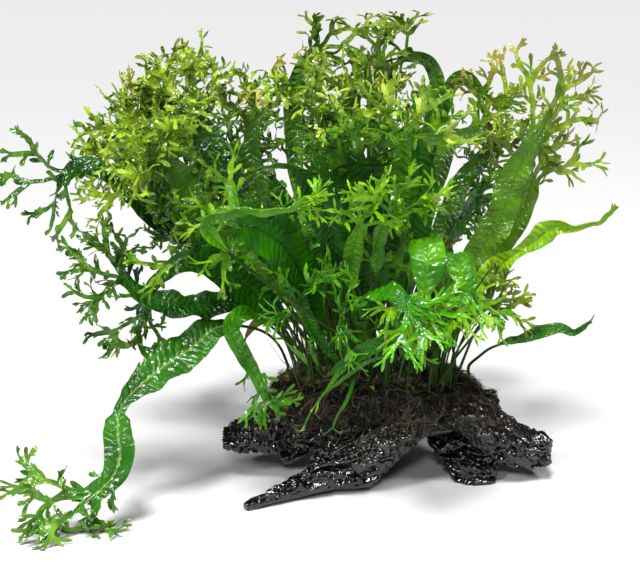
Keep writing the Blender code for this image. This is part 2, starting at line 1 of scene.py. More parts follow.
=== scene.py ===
# %% [markdown]
# # A lace-tipped java fern on driftwood
# The fern grips a piece of dark driftwood with a mat of hair-like roots. Long strap leaves, called
# fronds, rise from creeping stems on the mat, and nearly every frond ends in a crest that forks
# again and again into lace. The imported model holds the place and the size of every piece. This
# script gives each of them its real surface, and leaves all of them where they are.

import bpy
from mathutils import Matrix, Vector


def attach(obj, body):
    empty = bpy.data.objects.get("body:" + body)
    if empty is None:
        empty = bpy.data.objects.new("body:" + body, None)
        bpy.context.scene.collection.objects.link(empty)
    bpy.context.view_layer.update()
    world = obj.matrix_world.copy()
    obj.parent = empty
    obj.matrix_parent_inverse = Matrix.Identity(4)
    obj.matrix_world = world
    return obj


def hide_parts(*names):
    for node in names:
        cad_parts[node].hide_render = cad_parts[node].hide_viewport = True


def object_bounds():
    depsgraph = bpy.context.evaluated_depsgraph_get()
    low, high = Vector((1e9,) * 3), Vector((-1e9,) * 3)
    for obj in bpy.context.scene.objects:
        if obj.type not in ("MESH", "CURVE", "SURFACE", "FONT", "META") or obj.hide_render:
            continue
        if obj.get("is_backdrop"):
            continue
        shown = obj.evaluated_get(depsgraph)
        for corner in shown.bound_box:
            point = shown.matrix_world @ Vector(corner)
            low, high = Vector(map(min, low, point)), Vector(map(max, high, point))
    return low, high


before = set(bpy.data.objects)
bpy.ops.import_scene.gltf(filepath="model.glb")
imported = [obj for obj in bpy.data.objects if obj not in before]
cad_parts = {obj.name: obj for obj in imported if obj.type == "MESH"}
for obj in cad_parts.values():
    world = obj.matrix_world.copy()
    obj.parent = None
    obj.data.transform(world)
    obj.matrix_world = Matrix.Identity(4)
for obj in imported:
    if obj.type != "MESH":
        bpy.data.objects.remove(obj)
cad_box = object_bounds()
print(f"{len(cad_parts)} packed nodes")

# %% [markdown]
# ## Units and tools
# The fern is worked out in millimetres, because its lace is about one millimetre wide, and it is
# scaled to metres when it becomes an object. Every random draw has a seed. The noise gets one too,
# because Blender would take it from the clock, and so each run grows the same plant.

# %% Tools
import math
import random
from collections import namedtuple

import bmesh
import bpy
import numpy as np
from mathutils import Euler, Quaternion, Vector, noise
from mathutils.bvhtree import BVHTree

MM = 0.001
UP = Vector((0, 0, 1))
NOISE_SEED = 1795519333  # any whole number gives a plant
NOISE_ROOM = 90  # how far out a place in the noise may be picked

noise.seed_set(NOISE_SEED)


def add_object(name, data):
    """A new object in the scene."""
    made = bpy.data.objects.new(name, data)
    bpy.context.scene.collection.objects.link(made)
    return made


def somewhere(draws):
    """A random place in the noise."""
    return Vector((draws.uniform(0, NOISE_ROOM), draws.uniform(0, NOISE_ROOM), 0))


# %% [markdown]
# ## The camera
# The picture was taken from the front and a little above, with a long lens. A camera's height above
# the subject shows in how much of the wood's top is seen, so it is set first and then left alone.

# %% Camera
CAMERA_ELEVATION = math.radians(14)
CAMERA_DISTANCE = 0.72
CAMERA_TARGET = Vector((-0.0375, 0, 0.104))
PICTURE_WIDTH = 640
FOCAL_LENGTH = 1286  # in pixels of the picture

camera_data = bpy.data.cameras.new("camera")
camera_data.lens = camera_data.sensor_width * FOCAL_LENGTH / PICTURE_WIDTH
camera = add_object("camera", camera_data)
away = Vector((0, -math.cos(CAMERA_ELEVATION), math.sin(CAMERA_ELEVATION)))
camera.location = CAMERA_TARGET + away * CAMERA_DISTANCE
camera.rotation_euler = Euler((math.radians(90) - CAMERA_ELEVATION, 0, 0))
bpy.context.scene.camera = camera
print(f"camera with a {camera_data.lens:.0f} mm lens")

# %% [markdown]
# ## Floor and light
# The floor is a wide pale sheet, so that the plant stands on something and casts a soft shadow. A
# broad sun from above gives the light. Three small soft boxes give the sharp white sparks that wet
# leaves and wet wood show. The sky is dim, because an even white sky would wash out the dark greens.

# %% Floor and light
FLOOR_HALF_WIDTH = 15.0


def plain_finish(name, colour, roughness):
    """A Principled finish with one colour, to which nodes can be added."""
    material = bpy.data.materials.new(name)
    material.use_nodes = True
    shader = material.node_tree.nodes["Principled BSDF"]
    shader.inputs["Base Color"].default_value = (*colour, 1)
    shader.inputs["Roughness"].default_value = roughness
    return material


def new_object(name, bm, material):
    """Makes a bmesh an object at the origin."""
    mesh = bpy.data.meshes.new(name)
    bm.to_mesh(mesh)
    bm.free()
    mesh.materials.append(material)
    return add_object(name, mesh)


def add_light(kind, name, energy, size, place):
    """A lamp at a place, turned towards the plant. A sun's size is its angle in degrees."""
    lamp = bpy.data.lights.new(name, kind)
    lamp.energy = energy
    if kind == "SUN":
        lamp.angle = math.radians(size)
    else:
        lamp.size = size
    holder = add_object(name, lamp)
    holder.location = place
    holder.rotation_euler = (CAMERA_TARGET - Vector(place)).to_track_quat("-Z", "Y").to_euler()


floor_mesh = bmesh.new()
bmesh.ops.create_grid(floor_mesh, x_segments=1, y_segments=1, size=FLOOR_HALF_WIDTH)
floor = new_object("floor", floor_mesh, plain_finish("pale floor", (0.56, 0.56, 0.56), 0.9))
floor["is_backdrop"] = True

add_light("SUN", "broad sun", 5.0, 16, (-0.2, -0.45, 1.4))
add_light("AREA", "left soft box", 8.0, 0.2, (-0.75, -0.75, 0.8))
add_light("AREA", "right soft box", 6.0, 0.2, (0.65, -0.35, 1.0))
add_light("AREA", "front soft box", 5.0, 0.18, (-0.1, -1.1, 0.75))

sky = bpy.data.worlds.new("dim sky")
sky.use_nodes = True
background = sky.node_tree.nodes["Background"]
background.inputs["Color"].default_value = (1, 1, 0.98, 1)
background.inputs["Strength"].default_value = 0.07
bpy.context.scene.world = sky
bpy.context.scene.view_settings.view_transform = "Standard"

# %% [markdown]
# ## Reading a frond
# A packed frond is a thin ribbon: rings of four corners up the stalk and the blade, then one longer
# ring where the crest begins, then a small ring at the fork of each arm, and a tip for each tine.
# Counting steps along the mesh's edges from the foot finds all of them again. What is kept is a
# spine: the middle and the half width of every ring, and the points that the arms pass.

# %% Spines
WELD = 0.01  # vertices closer than this, in millimetres, are one corner
CORNERS = 4  # of each ring
FACE_ON = Vector((0, -0.5, 0.9))  # up and towards the viewer
Spine = namedtuple("Spine", "middles halves arms")


def merged(*names):
    """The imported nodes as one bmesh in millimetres, with their loose triangles welded."""
    bm = bmesh.new()
    for name in names:
        bm.from_mesh(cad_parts[name].data)
    bmesh.ops.scale(bm, vec=(1 / MM, 1 / MM, 1 / MM), verts=bm.verts)
    bmesh.ops.remove_doubles(bm, verts=bm.verts, dist=WELD)
    return bm


def layers_from(feet):
    """Rings of vertices, each one edge further from the feet than the ring before."""
    layers, seen = [feet], set(feet)
    while layers[-1]:
        near = {e.other_vert(v) for v in layers[-1] for e in v.link_edges} - seen
        seen |= near
        layers.append(sorted(near, key=lambda v: v.index))
    return layers[:-1]


def islands(verts):
    """The groups of these vertices that edges join."""
    left, groups = set(verts), []
    for start in verts:
        if start not in left:
            continue
        group, waiting = [], [start]
        left.discard(start)
        while waiting:
            vertex = waiting.pop()
            group.append(vertex)
            for other in (e.other_vert(vertex) for e in vertex.link_edges):
                if other in left:
                    left.discard(other)
                    waiting.append(other)
        groups.append(group)
    return groups


def middle_of(verts):
    return sum((v.co for v in verts), Vector()) / len(verts)


def across_ring(verts, like):
    """Half of the ring's width as a vector, on the same side as the vector given."""
    middle = middle_of(verts)
    longest = np.linalg.svd(np.array([v.co - middle for v in verts]))[2][0]
    way = Vector(longest) if like.dot(Vector(longest)) > 0 else -Vector(longest)
    return way * max(abs(way.dot(v.co - middle)) for v in verts)


def read_arms(forks, tips, across):
    """For each arm its fork and the ends of its two tines, in order along the crest."""
    arms = []
    for group in islands(forks):
        near = {e.other_vert(v) for v in group for e in v.link_edges}
        ends = sorted((middle_of(tip) for tip in islands(tips) if near & set(tip)), key=across.dot)
        arms.append((middle_of(group), ends))
    return sorted(arms, key=lambda arm: across.dot(arm[0]))


def read_spine(name, ground):
    """The spine of a packed frond, its face turned up and towards the viewer."""
    bm = merged(name)
    feet = sorted(bm.verts, key=lambda v: (ground.find_nearest(v.co)[3], v.index))[:CORNERS]
    layers = layers_from(feet)
    rings, forks, tips = layers[:-2], layers[-2], layers[-1]
    middles = [middle_of(ring) for ring in rings]
    halves = [across_ring(rings[0], Vector((1, 0, 0)))]
    for ring in rings[1:]:
        halves.append(across_ring(ring, halves[-1]))
    ways = [b - a for a, b in zip(middles, middles[1:])]
    facing = sum((half.cross(way) for half, way in zip(halves[1:], ways)), Vector())
    if facing.dot(FACE_ON) < 0:
        halves = [-half for half in halves]
    spine = Spine(middles, halves, read_arms(forks, tips, halves[-1]))
    bm.free()
    return spine


def nodes_named(start):
    return sorted(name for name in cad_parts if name.startswith(start))


frond_names = nodes_named("frond")
ground_mesh = merged(*sorted(set(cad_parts) - set(frond_names)))
ground = BVHTree.FromBMesh(ground_mesh)
ground_mesh.free()
spines = {name: read_spine(name, ground) for name in frond_names}
print({name: (len(spine.middles), len(spine.arms)) for name, spine in spines.items()})

# %% [markdown]
# ## The line of a frond
# A living frond has no corners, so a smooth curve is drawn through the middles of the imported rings.
# Narrow rows are laid across it at even steps. Each row knows which way the frond runs there, which
# way is across it, and how wide it is. A little noise lets the line wander as a soft leaf does.

# %% Rows
WANDER_LENGTH = 23  # millimetres from one bend of a wandering frond to the next
STEADY_FOOT = 30.0  # over this length from its foot, a frond begins to wander
NEARBY = 0.04  # a short way along the rings, to see where the frond is going
Row = namedtuple("Row", "middle way wide face half along")


def on_curve(points, place):
    """A point on the smooth curve through the points; a place of 2.5 is midway from point 2 to 3."""
    start = min(int(place), len(points) - 2)
    u = place - start
    a, b, c, d = (points[min(max(start + k, 0), len(points) - 1)] for k in (-1, 0, 1, 2))
    square, cube = 2 * a - 5 * b + 4 * c - d, 3 * b - a - 3 * c + d
    return 0.5 * (2 * b + (c - a) * u + square * u**2 + cube * u**3)


def rows_along(spine, step, wander, draws, profile=None):
    """Rows across the frond, one every step millimetres, from its foot to where its crest begins.

    A profile gives half widths at shares of the length, for a blade that narrows on its way."""
    sides = [half.normalized() for half in spine.halves]
    widths = [half.length for half in spine.halves]
    places = np.linspace(0, len(widths) - 1, 30 * len(widths))
    line = [on_curve(spine.middles, place) for place in places]
    reach = np.cumsum([0] + [(b - a).length for a, b in zip(line, line[1:])])
    seed = somewhere(draws)
    rows = []
    for along in np.linspace(0, reach[-1], max(10, round(reach[-1] / step))):
        place = float(np.interp(along, reach, places))
        ahead = on_curve(spine.middles, min(place + NEARBY, len(widths) - 1))
        way = (ahead - on_curve(spine.middles, max(place - NEARBY, 0))).normalized()
        wide = on_curve(sides, place)
        wide = (wide - way * wide.dot(way)).normalized()
        bend = noise.noise_vector(seed + UP * (along / WANDER_LENGTH))
        middle = on_curve(spine.middles, place) + bend * wander * min(1, along / STEADY_FOOT)
        half = max(0.4, on_curve(widths, place))
        if profile:
            half = float(np.interp(along / reach[-1], *zip(*profile)))
        rows.append(Row(middle, way, wide, wide.cross(way), half, along))
    return rows


# %% [markdown]
# ## The blade
# A blade is a strap with a raised midrib. Between its side veins the leaf bulges, which gives a wet
# frond its rows of small white glints, and its margin waves because it grew faster than the middle.
# A grid is the natural start: its rows become the rows of the frond, and each of its points is then
# lifted by quilting, wave and fold. Number layers on the points tell the finish where it is.

# %% Blade
LAYERS = ("across", "vein", "lace", "stalk", "tone")
BLADE_FROM = 1.35  # half width at which the stalk begins to be a blade
BLADE_OPENS = 14.0  # millimetres in which it reaches its whole width
VEIN_LEAN = 0.55  # how far a side vein runs up while it runs out
FULL_QUILT = 9  # half width from which the blade is fully quilted
FULL_WAVE = 7  # half width from which its margin waves fully


def add_layers(bm):
    return [bm.verts.layers.float.new(layer) for layer in LAYERS]


def lay_blade(rows, columns, habit, draws):
    """The blade as a flat sheet of faces, and the lines of its vertices from the base to the crest."""
    bm = bmesh.new()
    bmesh.ops.create_grid(bm, x_segments=columns, y_segments=len(rows) - 1, size=1)
    across, vein, *_ = add_layers(bm)
    lines = [[] for row in rows]
    for vertex in bm.verts:
        lines[round((vertex.co.y + 1) / 2 * (len(rows) - 1))].append(vertex)
    seed = Vector([draws.uniform(0, NOISE_ROOM) for axis in range(3)])
    waves = [draws.uniform(0, 6.28), draws.uniform(0, 6.28)]
    for row, line in zip(rows, lines):
        line.sort(key=lambda v: v.co.x)
        opened = min(1, (row.along - rows[0].along) / BLADE_OPENS + 0.25)
        for vertex in line:
            u = vertex.co.x
            side = u > 0
            nick = 1 + 0.09 * noise.noise(seed + Vector((side * 7, row.along / 5, 0))) * abs(u)
            reach = row.half * opened * nick
            phase = (row.along + VEIN_LEAN * abs(u) * reach) / habit.cell + side / 2
            phase += noise.noise(seed + Vector((u * reach / 6, row.along / 8, side * 3))) * 0.5
            bulge = abs(math.sin(math.pi * phase)) ** 0.6 * (1 - u**4) * min(1, 3 * abs(u))
            bulge += 0.9 * noise.noise(seed + Vector((u * reach / 1.7, row.along / 2.1, side * 9)))
            wave = math.sin(row.along / 2.9 + waves[side]) + math.sin(row.along / 4.3 + waves[1 - side])
            lift = habit.quilt * bulge * min(1, row.half / FULL_QUILT)
            lift += habit.wave * wave * abs(u) ** 2.5 * min(1, row.half / FULL_WAVE) * opened
            lift += habit.fold * reach * abs(u) ** 1.5
            vertex.co = row.middle + row.wide * (u * reach) + row.face * lift
            vertex[across], vertex[vein] = u, phase
    return bm, lines


# %% [markdown]
# ## Lace
# The tip of this fern divides again and again, which gives each frond a tangle of narrow ribbons.
# It is grown as the plant grows it. A growing edge is extruded step by step, turning and twisting a
# little each time. Now and then the edge is split in two, and each half goes its own way. A twig
# starts from the edge of a ribbon's side in the same way. Everything stays one sheet of faces.

# %% Lace
Tip = namedtuple("Tip", "verts way wide half")
TWIG_STEP = 1.9
LACE_SPAN = 55.0  # millimetres over which green turns to the colour of the tips
CUP = 0.4  # how far the sides of a ribbon stand up, as a share of its half width
TWIG_FOOT = 0.8  # half width at which a twig sets out


def grow(bm, tip, middle, way, half, twist=0.0):
    """Extrudes a growing edge to a new middle. The ribbon turns with its way, and twists about it."""
    wide = Quaternion(way, twist) @ tip.way.rotation_difference(way) @ tip.wide
    face = wide.cross(way)
    edges = [bm.edges.get(pair) for pair in zip(tip.verts, tip.verts[1:])]
    grown = set(bmesh.ops.extrude_edge_only(bm, edges=edges)["geom"])
    lace = bm.verts.layers.float["lace"]
    verts = []
    for share, vertex in zip(np.linspace(-1, 1, len(tip.verts)), tip.verts):
        fresh = next(e.other_vert(vertex) for e in vertex.link_edges if e.other_vert(vertex) in grown)
        stretch = (middle - vertex.co).length
        fresh.co = middle + wide * (half * share) + face * (CUP * half * share**2)
        fresh[lace] = min(1, vertex[lace] + stretch / LACE_SPAN)
        verts.append(fresh)
    return Tip(verts, way, wide, half)


def split(bm, tip):
    """The two halves of a growing edge. A single edge gets a vertex in its middle first."""
    verts = list(tip.verts)
    if len(verts) == 2:
        edge = bm.edges.get(verts)
        verts.insert(1, bmesh.utils.edge_split(edge, verts[0], 0.5)[1])
    half = len(verts) // 2
    return [Tip(part, tip.way, tip.wide, tip.half / 2) for part in (verts[: half + 1], verts[half:])]


def side_tip(before, tip, side, lean):
    """The growing edge of a twig on a ribbon's side: -1 is its left and 1 its right."""
    if side < 0:
        verts, way, wide = [before.verts[0], tip.verts[0]], -tip.wide, tip.way
    else:
        verts, way, wide = [tip.verts[-1], before.verts[-1]], tip.wide, -tip.way
    turn = Quaternion(tip.wide.cross(tip.way), side * lean)
    return Tip(verts, turn @ way, turn @ wide, TWIG_FOOT)


def grow_twig(bm, tip, length, half, levels, habit, draws):
    """Grows a curling ribbon from an edge, which forks as often as levels says."""
    steps = max(2, round(length / TWIG_STEP))
    curl = draws.choice((-1, 1)) * draws.uniform(0.1, 0.9)
    bend = draws.choice((-1, 1)) * draws.uniform(0.3, 1.5)
    turns = [math.radians(habit.curl * k) * TWIG_STEP for k in (curl, bend, draws.gauss(0, 0.9))]
    for step in range(steps):
        tighter = 0.7 + 0.8 * step / steps
        bent = Quaternion(tip.wide, turns[1] * tighter)
        turn = Quaternion(tip.wide.cross(tip.way), turns[0] * tighter) @ bent
        way = (turn @ tip.way + UP * habit.lift).normalized()
        before = tip
        width = half * (0.75 + 0.5 * (step / steps) ** 2) * draws.uniform(0.8, 1.2)
        tip = grow(bm, tip, middle_of(tip.verts) + way * TWIG_STEP, way, width, turns[2])
        if draws.random() < habit.teeth:
            tooth = side_tip(before, tip, draws.choice((-1, 1)), math.radians(40))
            tooth_way = (tooth.way + tip.way * 0.3).normalized()
            grow(bm, tooth, middle_of(tooth.verts) + tooth_way * draws.uniform(1, 2.8), tooth_way, 0.3)
    if levels == 0 or draws.random() < 0.1:
        blunt = draws.uniform(0.35, 0.85) if habit.teeth else 0.5
        tip = grow(bm, tip, middle_of(tip.verts) + tip.way * 1.3, tip.way, half * blunt)
        grow(bm, tip, middle_of(tip.verts) + tip.way * 0.9, tip.way, half * blunt * 0.3)
        return
    for sign, part in zip((1, -1), split(bm, tip)):
        spread = Quaternion(part.wide.cross(part.way), sign * math.radians(draws.uniform(10, 42)))
        child = Tip(part.verts, spread @ part.way, spread @ part.wide, part.half)
        girth = half * draws.uniform(0.7, 0.95)
        grow_twig(bm, child, length * draws.uniform(0.4, 1.15), girth, levels - 1, habit, draws)


def follow(bm, tip, points, halves, habit, draws, shrink=1.0):
    """Grows a ribbon from point to point, with twigs on both sides that shrink to the share given."""
    due = {-1: draws.uniform(0, habit.gap), 1: draws.uniform(0, habit.gap)}
    for point, half, size in zip(points, halves, np.linspace(1, shrink, len(points))):
        before = tip
        step = (point - middle_of(tip.verts)).length
        way = (point - middle_of(tip.verts)).normalized()
        tip = grow(bm, tip, point, way, half, math.radians(draws.gauss(0, 5)))
        for side in due:
            due[side] -= step
            if due[side] < 0 and habit.levels:
                due[side] = habit.gap * draws.uniform(0.6, 1.5)
                twig = side_tip(before, tip, side, math.radians(90 - draws.uniform(*habit.lean)))
                length, girth = draws.uniform(*habit.twig) * size, habit.girth * draws.uniform(0.65, 1.15)
                grow_twig(bm, twig, length, girth, habit.levels - 1, habit, draws)
    return tip


# %% [markdown]
# ## A crest
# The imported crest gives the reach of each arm: its fork and the ends of its two tines. The last row
# of the blade is shared out among the arms. Each arm is grown along a bent line to its fork, is
# split there, and its halves grow on to the ends of the tines, where they fork again.

# %% Crest
ARM_STEP = 2.1
ARM_HALF = 1.8  # half widths before the habit's girth
TINE_HALF = 0.85
FORK_SHARE = 0.09  # share of a tine that each of its last forks takes


def bent_line(start, way_out, way_in, end, step, draws):
    """Points every step millimetres from start to end, on a curve that sets out and arrives as told."""
    reach = (end - start).length
    a, b = start + way_out * (reach * 0.4), end - way_in * (reach * 0.35)
    seed = somewhere(draws)
    count = max(3, round(reach * 1.08 / step))
    points = []
    for t in np.linspace(0, 1, count + 1)[1:]:
        point = start * (1 - t) ** 3 + a * (3 * t * (1 - t) ** 2) + b * (3 * t**2 * (1 - t)) + end * t**3
        stray = noise.noise_vector(seed + UP * (t * reach / 9)) * (1.6 * math.sin(math.pi * t))
        points.append(point + stray)
    return points


def grow_crest(bm, line, row, spine, habit, draws):
    """Grows the arms of a crest from the blade's last line of vertices. A bare leaf has one."""
    arms = spine.arms if habit.forks else spine.arms[:1]
    share = (len(line) - 1) // len(arms)
    for number, (fork, ends) in enumerate(arms):
        ends = ends if habit.forks else ends[:1]
        verts = line[number * share : (number + 1) * share + 1]
        half = (verts[-1].co - verts[0].co).length / 2
        tip = Tip(verts, row.way, row.wide, half)
        onward = (sum(ends, Vector()) / len(ends) - fork).normalized()
        points = bent_line(middle_of(verts), row.way, onward, fork, ARM_STEP, draws)
        widths = np.linspace(half, min(half, ARM_HALF * habit.girth), len(points))
        tip = follow(bm, tip, points, widths, habit, draws)
        parts = split(bm, tip) if len(ends) == 2 else [tip]
        for part, end in zip(parts, ends):
            start, onward = middle_of(part.verts), (end - fork).normalized()
            goal = end.lerp(fork, FORK_SHARE * habit.forks)
            points = bent_line(start, part.way, onward, goal, ARM_STEP, draws)
            last = TINE_HALF * habit.girth
            widths = np.linspace(max(part.half, last), last, len(points))
            part = follow(bm, part, points, widths, habit, draws, 0.45)
            grow_twig(bm, part, 1.8 + habit.forks, last, habit.forks, habit, draws)


# %% [markdown]
# ## The stalk
# A stalk is a thin round stem that goes on up the blade as its midrib, thinner and thinner. It is a
# grid rolled up into a tube, whose seam is merged and whose ends are closed.

# %% Stalk
STALK_SIDES = 6
FOOT_SUNK = 1.8  # how far a stalk goes down into its rhizome


def roll_tube(bm, centres, radii, sides):
    """Rolls a grid up round a line of centres and closes both ends. Gives the tube's vertices."""
    sheet = set(bm.verts)
    bmesh.ops.create_grid(bm, x_segments=sides, y_segments=len(centres) - 1, size=1)
    verts = [v for v in bm.verts if v not in sheet]
    ways = [(b - a).normalized() for a, b in zip(centres[:-2], centres[2:])]
    ways = [ways[0], *ways, ways[-1]]
    side = ways[0].orthogonal()
    sides_of = []
    for way in ways:
        side = (side - way * side.dot(way)).normalized()
        sides_of.append(side)
    for vertex in verts:
        number = round((vertex.co.y + 1) / 2 * (len(centres) - 1))
        turn = Quaternion(ways[number], math.pi * (vertex.co.x + 1))
        vertex.co = centres[number] + turn @ sides_of[number] * radii[number]
    bmesh.ops.remove_doubles(bm, verts=verts, dist=0.001)
    verts = [v for v in verts if v.is_valid]
    rims = {e for v in verts for e in v.link_edges if e.is_boundary}
    bmesh.ops.holes_fill(bm, edges=list(rims), sides=0)
    return verts


def add_stalk(bm, rows, base, tone):
    """Adds the stalk and the midrib. base is the number of the row where the blade begins."""
    centres = [rows[0].middle - UP * FOOT_SUNK] + [row.middle for row in rows]
    radii = [0.95]
    for number, row in enumerate(rows):
        up = max(0, number - base) / max(1, len(rows) - base)
        radii.append(0.9 - 0.1 * min(1, number / base) - 0.38 * min(1, up * 4) - 0.2 * up)
    stalk, shade = bm.verts.layers.float["stalk"], bm.verts.layers.float["tone"]
    for vertex in roll_tube(bm, centres, radii, STALK_SIDES):
        near = min(range(0, len(rows), 2), key=lambda k: (rows[k].middle - vertex.co).length_squared)
        vertex[stalk] = min(1, max(0.35, 1 - (near - base) * 0.1))
        vertex[shade] = tone


# %% [markdown]
# ## Helpers for finishes
# Every finish is a small graph of nodes around one Principled shader. The helpers keep each graph
# short: one adds a node and sets its sockets, and the others make the kinds that are used most.

# %% Finish helpers
MIX_FACTOR, MIX_FIRST, MIX_SECOND, MIX_RESULT = 0, 6, 7, 2  # sockets of a node that mixes colours


def fill(tree, node, inputs):
    """Gives the node's sockets their values. A value is a number, a colour or another socket."""
    for socket, value in inputs.items():
        if isinstance(value, bpy.types.NodeSocket):
            tree.links.new(value, node.inputs[socket])
        else:
            node.inputs[socket].default_value = value


def add_node(tree, kind, inputs, **settings):
    """A node with its sockets filled, whose settings are given by name."""
    node = tree.nodes.new(f"ShaderNode{kind}")
    for setting, value in settings.items():
        setattr(node, setting, value)
    fill(tree, node, inputs)
    return node


def layer_value(tree, layer):
    """A number layer of the mesh."""
    return add_node(tree, "Attribute", {}, attribute_name=layer).outputs["Fac"]


def speckle(tree, scale, detail=3, stretch=None):
    """Noise on object coordinates; scale is in patches a metre, and stretch pulls it along an axis."""
    where = add_node(tree, "TexCoord", {}).outputs["Object"]
    if stretch:
        where = add_node(tree, "Mapping", {"Vector": where, "Scale": stretch}).outputs["Vector"]
    return add_node(tree, "TexNoise", {"Vector": where, "Scale": scale, "Detail": detail}).outputs["Fac"]


def between(tree, value, low, high, to_low=0.0, to_high=1.0):
    """Maps a value's range onto another, and holds it there."""
    inputs = {"Value": value, "From Min": low, "From Max": high, "To Min": to_low, "To Max": to_high}
    return add_node(tree, "MapRange", inputs).outputs["Result"]


def blend(tree, factor, first, second):
    """Mixes two colours, each given as three numbers or as a socket."""
    inputs = {MIX_FACTOR: factor}
    for socket, colour in ((MIX_FIRST, first), (MIX_SECOND, second)):
        inputs[socket] = colour if isinstance(colour, bpy.types.NodeSocket) else (*colour, 1)
    return add_node(tree, "Mix", inputs, data_type="RGBA").outputs[MIX_RESULT]


def work_out(tree, operation, first, second=0.0):
    """One step of arithmetic."""
    return add_node(tree, "Math", {0: first, 1: second}, operation=operation).outputs[0]


def add(tree, first, second):
    return work_out(tree, "ADD", first, second)


def times(tree, first, second):
    return work_out(tree, "MULTIPLY", first, second)


# %% [markdown]
# ## Wet leaf
# A wet frond has a deep, clear green under a film of water. The film is a coat with a low roughness,
# which gives the sharp white glints, and the leaf below it stays softer. Patches of noise vary the
# green, the side veins show as darker lines, which lie in the creases of the quilting and so are partly
# the veins' own green and partly painted shade, the midrib is paler, and the lace turns to a lighter
# green and then to olive or brown at its ends. The greens are far from grey: their blue is almost nothing.

# %% Leaf finish
STALK_COLOUR = (0.015, 0.034, 0.0015)
FILM_IOR = 1.42
LIGHT_REACH = {"Subsurface Weight": 0.1, "Subsurface Radius": (0.7, 1.0, 0.15), "Subsurface Scale": 0.0012}


def creases(tree, scale, detail=1.0, stretch=None):
    """Noise with sharp valleys."""
    wave = work_out(tree, "SUBTRACT", speckle(tree, scale, detail, stretch), 0.5)
    return work_out(tree, "ABSOLUTE", wave)


def add_film(tree, height, distance, roughness, amount=1.0, ior=FILM_IOR):
    """The film of water: a bumpy coat with a low roughness over a base that hardly shines."""
    bump = add_node(tree, "Bump", {"Height": height, "Strength": 1.0, "Distance": distance})
    normal = bump.outputs["Normal"]
    fill(tree, tree.nodes["Principled BSDF"], {
        "Normal": normal, "Coat Normal": normal, "Specular IOR Level": 0.08,
        "Coat Weight": amount, "Coat Roughness": roughness, "Coat IOR": ior,
    })


def leaf_colour(tree, vein, deep, bright, lace_colour, tip_colour, rib):
    """Patches of two greens, then the side veins, the midrib, the lace, its tips and the stalk."""
    patches = between(tree, add(tree, speckle(tree, 55, 4), layer_value(tree, "tone")), 0.3, 0.75)
    green = blend(tree, patches, deep, bright)
    # Darker along the side veins, in the creases between the bulges: partly the veins' own green and partly
    # painted shade.
    green = blend(tree, between(tree, vein, 0.0, 0.4, 0.18, 0.0), green, deep)
    across, lace = work_out(tree, "ABSOLUTE", layer_value(tree, "across")), layer_value(tree, "lace")
    on_blade = between(tree, lace, 0.0, 0.1, 1.0, 0.0)
    green = blend(tree, times(tree, between(tree, across, 0.02, 0.12, 0.6, 0.0), on_blade), green, rib)
    flecks = between(tree, speckle(tree, 120, 3), 0.4, 0.6, 0.15, 1.0)
    green = blend(tree, times(tree, between(tree, lace, 0.03, 0.45), flecks), green, lace_colour)
    ends = add(tree, lace, times(tree, speckle(tree, 70, 2), 0.6))
    green = blend(tree, between(tree, ends, 1.15, 1.45), green, tip_colour)
    stalk = layer_value(tree, "stalk")
    stem = blend(tree, between(tree, stalk, 0.4, 0.9), rib, STALK_COLOUR)
    return blend(tree, between(tree, stalk, 0.05, 0.3), green, stem)


def leaf_finish(name, deep, bright, lace_colour, tip_colour, rib, wetness):
    """A leaf's colours under a film of water, which is puckered in patches and follows the side veins."""
    material = plain_finish(name, bright, 0.3)
    tree = material.node_tree
    half_turns = times(tree, layer_value(tree, "vein"), math.pi)
    vein = work_out(tree, "ABSOLUTE", work_out(tree, "SINE", half_turns))
    wet = between(tree, speckle(tree, 45, 2), 0.42, 0.62, 0.15, 2.5)
    fine = add(tree, times(tree, creases(tree, 330), wet), times(tree, speckle(tree, 800, 2), 0.15))
    film = between(tree, layer_value(tree, "stalk"), 0.05, 0.3, wetness, 0.2)
    add_film(tree, add(tree, fine, times(tree, vein, 0.3)), 0.001, 0.08, film)
    fill(tree, tree.nodes["Principled BSDF"], {
        "Base Color": leaf_colour(tree, vein, deep, bright, lace_colour, tip_colour, rib),
        "Roughness": between(tree, speckle(tree, 240, 3), 0.35, 0.7, 0.32, 0.5),
        **LIGHT_REACH,
    })
    return material


